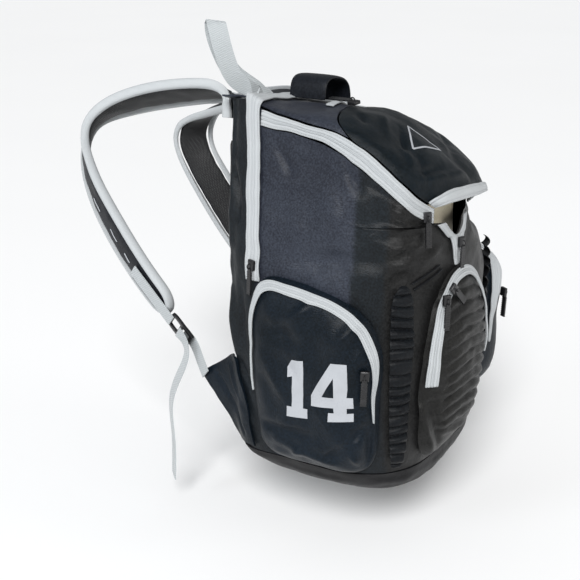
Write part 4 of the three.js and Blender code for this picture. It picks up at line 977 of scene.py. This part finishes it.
def modelSlider(length):
    # lies along -Y from the origin, with its face towards +Z
    width, bodyLength, thick = slider["body"]
    bpy.ops.mesh.primitive_cube_add(size=1, location=(0, -bodyLength / 2, thick / 2))
    body = bpy.context.object
    body.scale = (width, bodyLength, thick)
    bpy.ops.object.transform_apply(location=True, scale=True)
    bpy.ops.object.mode_set(mode="EDIT")
    work = bmesh.from_edit_mesh(body.data)
    for face in work.faces:
        face.select = face.normal.z > 0.9
    work.select_flush_mode()
    bmesh.update_edit_mesh(body.data)
    bpy.ops.mesh.inset(thickness=slider["faceInset"])
    bpy.ops.transform.translate(value=(0, 0, slider["faceRise"]))
    bpy.ops.object.mode_set(mode="OBJECT")
    applyModifier(body, "BEVEL", width=slider["bodyEdge"], segments=2)
    bpy.ops.mesh.primitive_torus_add(
        location=(0, -bodyLength * slider["bailAt"], thick + slider["bailRise"]), rotation=(0, math.pi / 2, 0),
        major_radius=slider["bail"], minor_radius=slider["bailWire"], major_segments=20, minor_segments=8)
    bail = bpy.context.object
    bpy.ops.object.transform_apply(location=True, rotation=True)
    start = -bodyLength * slider["pullAt"]
    pullLength = max(slider["shortest"], length + start)
    middle = thick + slider["pullRise"]
    bpy.ops.mesh.primitive_cube_add(size=1, location=(0, start - pullLength / 2, middle))
    pull = bpy.context.object
    pull.scale = (slider["pullWidth"], pullLength, slider["pullThick"])
    bpy.ops.object.transform_apply(location=True, scale=True)
    ribRows = slider["ribs"] * 2
    cuts = [((0, start - pullLength * (slider["ribStart"] + slider["ribSpan"] * rib / ribRows), 0), (0, 1, 0))
            for rib in range(ribRows + 1)]
    cuts += [((side * slider["pullWidth"] / 6, 0, 0), (1, 0, 0)) for side in (-1, 1)]
    bpy.ops.object.mode_set(mode="EDIT")
    for place, normal in cuts:
        bpy.ops.mesh.select_all(action="SELECT")
        bpy.ops.mesh.bisect(plane_co=place, plane_no=normal)
    work = bmesh.from_edit_mesh(pull.data)
    for vertex in work.verts:
        along = start - vertex.co.y - pullLength * slider["ribStart"]
        step = along / (pullLength * slider["ribSpan"]) * ribRows
        inside = -0.2 < step < ribRows + 0.2
        if inside and abs(vertex.co.x) < slider["pullWidth"] / 4:
            vertex.co.z = middle + (vertex.co.z - middle) * slider["beadSink"]
        if inside and round(step) % 2 == 0:
            vertex.co.x *= 1 - slider["ribDepth"] * 2 / slider["pullWidth"]
            vertex.co.z = middle + (vertex.co.z - middle) * slider["ribThin"]
        if not inside and vertex.co.y > start - pullLength * 0.1:
            vertex.co.x *= slider["neck"]
    bmesh.update_edit_mesh(pull.data)
    bpy.ops.object.mode_set(mode="OBJECT")
    applyModifier(pull, "BEVEL", width=slider["pullEdge"], segments=2, limit_method="ANGLE")
    only(body)
    bail.select_set(True)
    pull.select_set(True)
    bpy.ops.object.join()
    return bpy.context.object


def longestWay(points, center):
    # found by repeated multiplication with the spread of the points
    spread = Matrix(((0, 0, 0), (0, 0, 0), (0, 0, 0)))
    for p in points:
        d = p - center
        spread = spread + Matrix([[d[i] * d[j] for j in range(3)] for i in range(3)])
    way = Vector((0.3, 0.2, 1.0))
    for _ in range(slider["turns"]):
        way = (spread @ way).normalized()
    return -way if way.z < 0 else way


def placeSlider(nodeName):
    points = [vertex.co.copy() for vertex in nodes[nodeName].data.vertices]
    center = sum(points, Vector()) / len(points)
    way = longestWay(points, center)
    along = [(p - center).dot(way) for p in points]
    out = outwardAt(center)
    out = (out - way * out.dot(way)).normalized()
    low = min((p - center).dot(out) for p in points)
    top = center + way * max(along) + out * low
    piece = modelSlider(max(along) - min(along) + slider["longer"])
    piece.name = nodeName + "_pull"
    turn = Matrix((way.cross(out), way, out)).transposed().to_4x4()
    moved = hangOffset(center) + out * tapes["lift"]
    piece.data.transform(Matrix.Translation(top + moved) @ turn)
    piece.data.materials.clear()
    dress(piece, nodeName, finish="mouldedPlastic", slot="plastic")
    only(piece)
    bpy.ops.object.shade_smooth_by_angle(angle=slider["smoothBelow"])


for nodeName in [name for name in nodes if name.startswith("slider_")]:
    placeSlider(nodeName)
print("Sliders placed")


# printed numerals, laid on the pocket
film = {"faceCut": 0.6, "half": 0.06, "cuts": 24, "rayFrom": 0.02, "rayLength": 0.06, "lift": 0.0004}


def treeOf(obj):
    work = bmesh.new()
    work.from_mesh(obj.data)
    tree = BVHTree.FromBMesh(work)
    work.free()
    return tree


def printedCopy(nodeName, carrier):
    work = bmesh.new()
    work.from_mesh(nodes[nodeName].data)
    bmesh.ops.remove_doubles(work, verts=work.verts, dist=1e-6)
    center = sum((v.co for v in work.verts), Vector()) / len(work.verts)
    out = outwardAt(center)
    out.z = 0
    out.normalize()
    work.normal_update()
    bmesh.ops.delete(work, geom=[f for f in work.faces if f.normal.dot(out) < film["faceCut"]], context="FACES")
    across = Vector((-out.y, out.x, 0))
    for direction in (across, Vector((0, 0, 1))):
        for step in range(-film["cuts"], film["cuts"] + 1):
            plane = center + direction * (film["half"] * step / film["cuts"])
            bmesh.ops.bisect_plane(work, geom=work.verts[:] + work.edges[:] + work.faces[:], plane_co=plane,
                                   plane_no=direction, dist=1e-6)
    tree = treeOf(carrier)
    for vertex in work.verts:
        place = vertex.co + hangOffset(vertex.co)
        hit = tree.ray_cast(place + out * film["rayFrom"], -out, film["rayLength"])
        if hit[0]:
            place = hit[0]
        vertex.co = place + out * film["lift"]
    mesh = bpy.data.meshes.new(nodeName + "_film")
    work.to_mesh(mesh)
    work.free()
    mesh.materials.clear()
    obj = withMesh(nodeName + "_film", mesh)
    dress(obj, nodeName, finish="printedFilm", slot="vinyl")


pocketLeft = bpy.data.objects["side_pocket_left_soft"]
for nodeName in ("numeral_1", "numeral_4"):
    printedCopy(nodeName, pocketLeft)
print("Numerals laid on")


# lines laid on the cloth: a small mark on the lid, dashes on the straps, piping by the front pocket
def rowPoints(points, spacing):
    rows = []
    for start, end in zip(points, points[1:]):
        count = max(1, round((end - start).length / spacing))
        rows += [start.lerp(end, i / count) for i in range(count)]
    return rows + [points[-1]]


laid = {
    "spacing": 0.0015, "lift": 0.0003, "edge": 0.005, "rayFrom": 0.03, "rayLength": 0.08,
    "footFrom": 0.01, "footLength": 0.03,
    # across and up, in shares of the width and the height
    "flatProfile": [(-0.5, 0.0), (-0.5, 0.7), (-0.3, 1.0), (0.3, 1.0), (0.5, 0.7), (0.5, 0.0)],
    "roundProfile": [(0.5 * math.cos(a), 0.5 + 0.5 * math.sin(a)) for a in
                     [math.radians(-200 + 220 * i / 8) * -1 for i in range(9)]],
}


def laidLine(name, carrier, points, width, height, finish, slot, profile="flatProfile"):
    tree = treeOf(carrier)
    rows = rowPoints([Vector(p) for p in points], laid["spacing"])
    verts, strip = [], []
    for k, point in enumerate(rows):
        out = outwardAt(point)
        hit = tree.ray_cast(point + out * laid["rayFrom"], -out, laid["rayLength"])
        place = hit[0] if hit[0] else point
        normal = hit[1] if hit[0] else out
        if normal.dot(out) < 0:
            normal = -normal
        ahead, behind = rows[min(len(rows) - 1, k + 1)], rows[max(0, k - 1)]
        across = (ahead - behind).cross(normal).normalized()
        for side, up in laid[profile]:
            foot = place + across * side * width
            near = tree.ray_cast(foot + normal * laid["footFrom"], -normal, laid["footLength"])
            foot = near[0] if near[0] else foot
            verts.append(foot + normal * (up * height + laid["lift"]))
            strip.append((side * width, k * laid["spacing"], laid["edge"]))
    obj = ringSkin(name, verts, len(laid[profile]), cutEnds=False)
    addAttribute(obj, strip)
    return dress(obj, finish=finish, slot=slot)


laidLines = {
    "lidMark": [
        [(-0.055, -0.284, -0.050), (-0.014, -0.260, -0.019), (0.008, -0.298, -0.046), (-0.055, -0.284, -0.050)],
    ],
    "markWidth": 0.0026,
    "filmHeight": 0.0004,
    "dashes": [
        [(-0.122, 0.139, -0.145), (-0.121, 0.134, -0.163)],
        [(-0.124, 0.118, -0.184), (-0.124, 0.108, -0.200)],
        [(-0.125, 0.098, -0.214), (-0.125, 0.090, -0.226)],
    ],
    "dashWidth": 0.0028,
    "piping": [
        [(-0.106, -0.318, -0.199), (-0.080, -0.326, -0.190), (-0.056, -0.331, -0.184)],
        [(-0.108, -0.316, -0.191), (-0.084, -0.325, -0.183), (-0.061, -0.330, -0.178)],
    ],
    "pipingWidth": 0.0024,
    "pipingHeight": 0.0022,
}
for i, line in enumerate(laidLines["lidMark"]):
    laidLine("lidMark%d" % (i + 1), lid, line, laidLines["markWidth"], laidLines["filmHeight"], "printedFilm",
             "vinyl")
for side, flip in (("left", 1), ("right", -1)):
    strap = bpy.data.objects["strap_%s_soft" % side]
    for i, line in enumerate(laidLines["dashes"]):
        points = [(x * flip, y, z) for x, y, z in line]
        laidLine("strapDash_%s%d" % (side, i + 1), strap, points, laidLines["dashWidth"],
                 laidLines["filmHeight"], "printedFilm", "vinyl")
for i, line in enumerate(laidLines["piping"]):
    laidLine("pocketPiping%d" % (i + 1), shell, line, laidLines["pipingWidth"], laidLines["pipingHeight"],
             "gatherCloth", "nylon", "roundProfile")
print("Marks and piping laid on")

# the pale lining that shows through the open mouth
lining = {
    "left": -0.062, "right": 0.050, "foot": -0.205, "top": -0.112, "depth": -0.303, "columns": 40, "rows": 34,
    "wall": 0.0012, "fold": 0.0035, "foldAcross": 130, "foldUp": 40, "bow": 2.2, "bowMiddle": -0.01,
    "flat": (0.118, 0.093),
}


def liningSheet():
    verts, faces = [], []
    wide, high = lining["columns"], lining["rows"]
    for r in range(high + 1):
        for c in range(wide + 1):
            x = lining["left"] + (lining["right"] - lining["left"]) * c / wide
            z = lining["foot"] + (lining["top"] - lining["foot"]) * r / high
            wave = math.sin(x * lining["foldAcross"] + z * lining["foldUp"]) * lining["fold"]
            wave *= 1 - r / high * 0.5
            bow = lining["bow"] * (x - lining["bowMiddle"]) ** 2
            verts.append((x, lining["depth"] + bow + wave * 0.5, z))
    for r in range(high):
        for c in range(wide):
            a = r * (wide + 1) + c
            faces.append((a, a + 1, a + wide + 2, a + wide + 1))
    mesh = bpy.data.meshes.new("mouthLining")
    mesh.from_pydata(verts, [], faces)
    obj = withMesh("mouthLining", mesh)
    applyModifier(obj, "SOLIDIFY", thickness=lining["wall"], offset=0)
    return obj


dress(liningSheet(), finish="liningCloth", slot="nylon", flat=lining["flat"], held="hung")
print("Lining made")
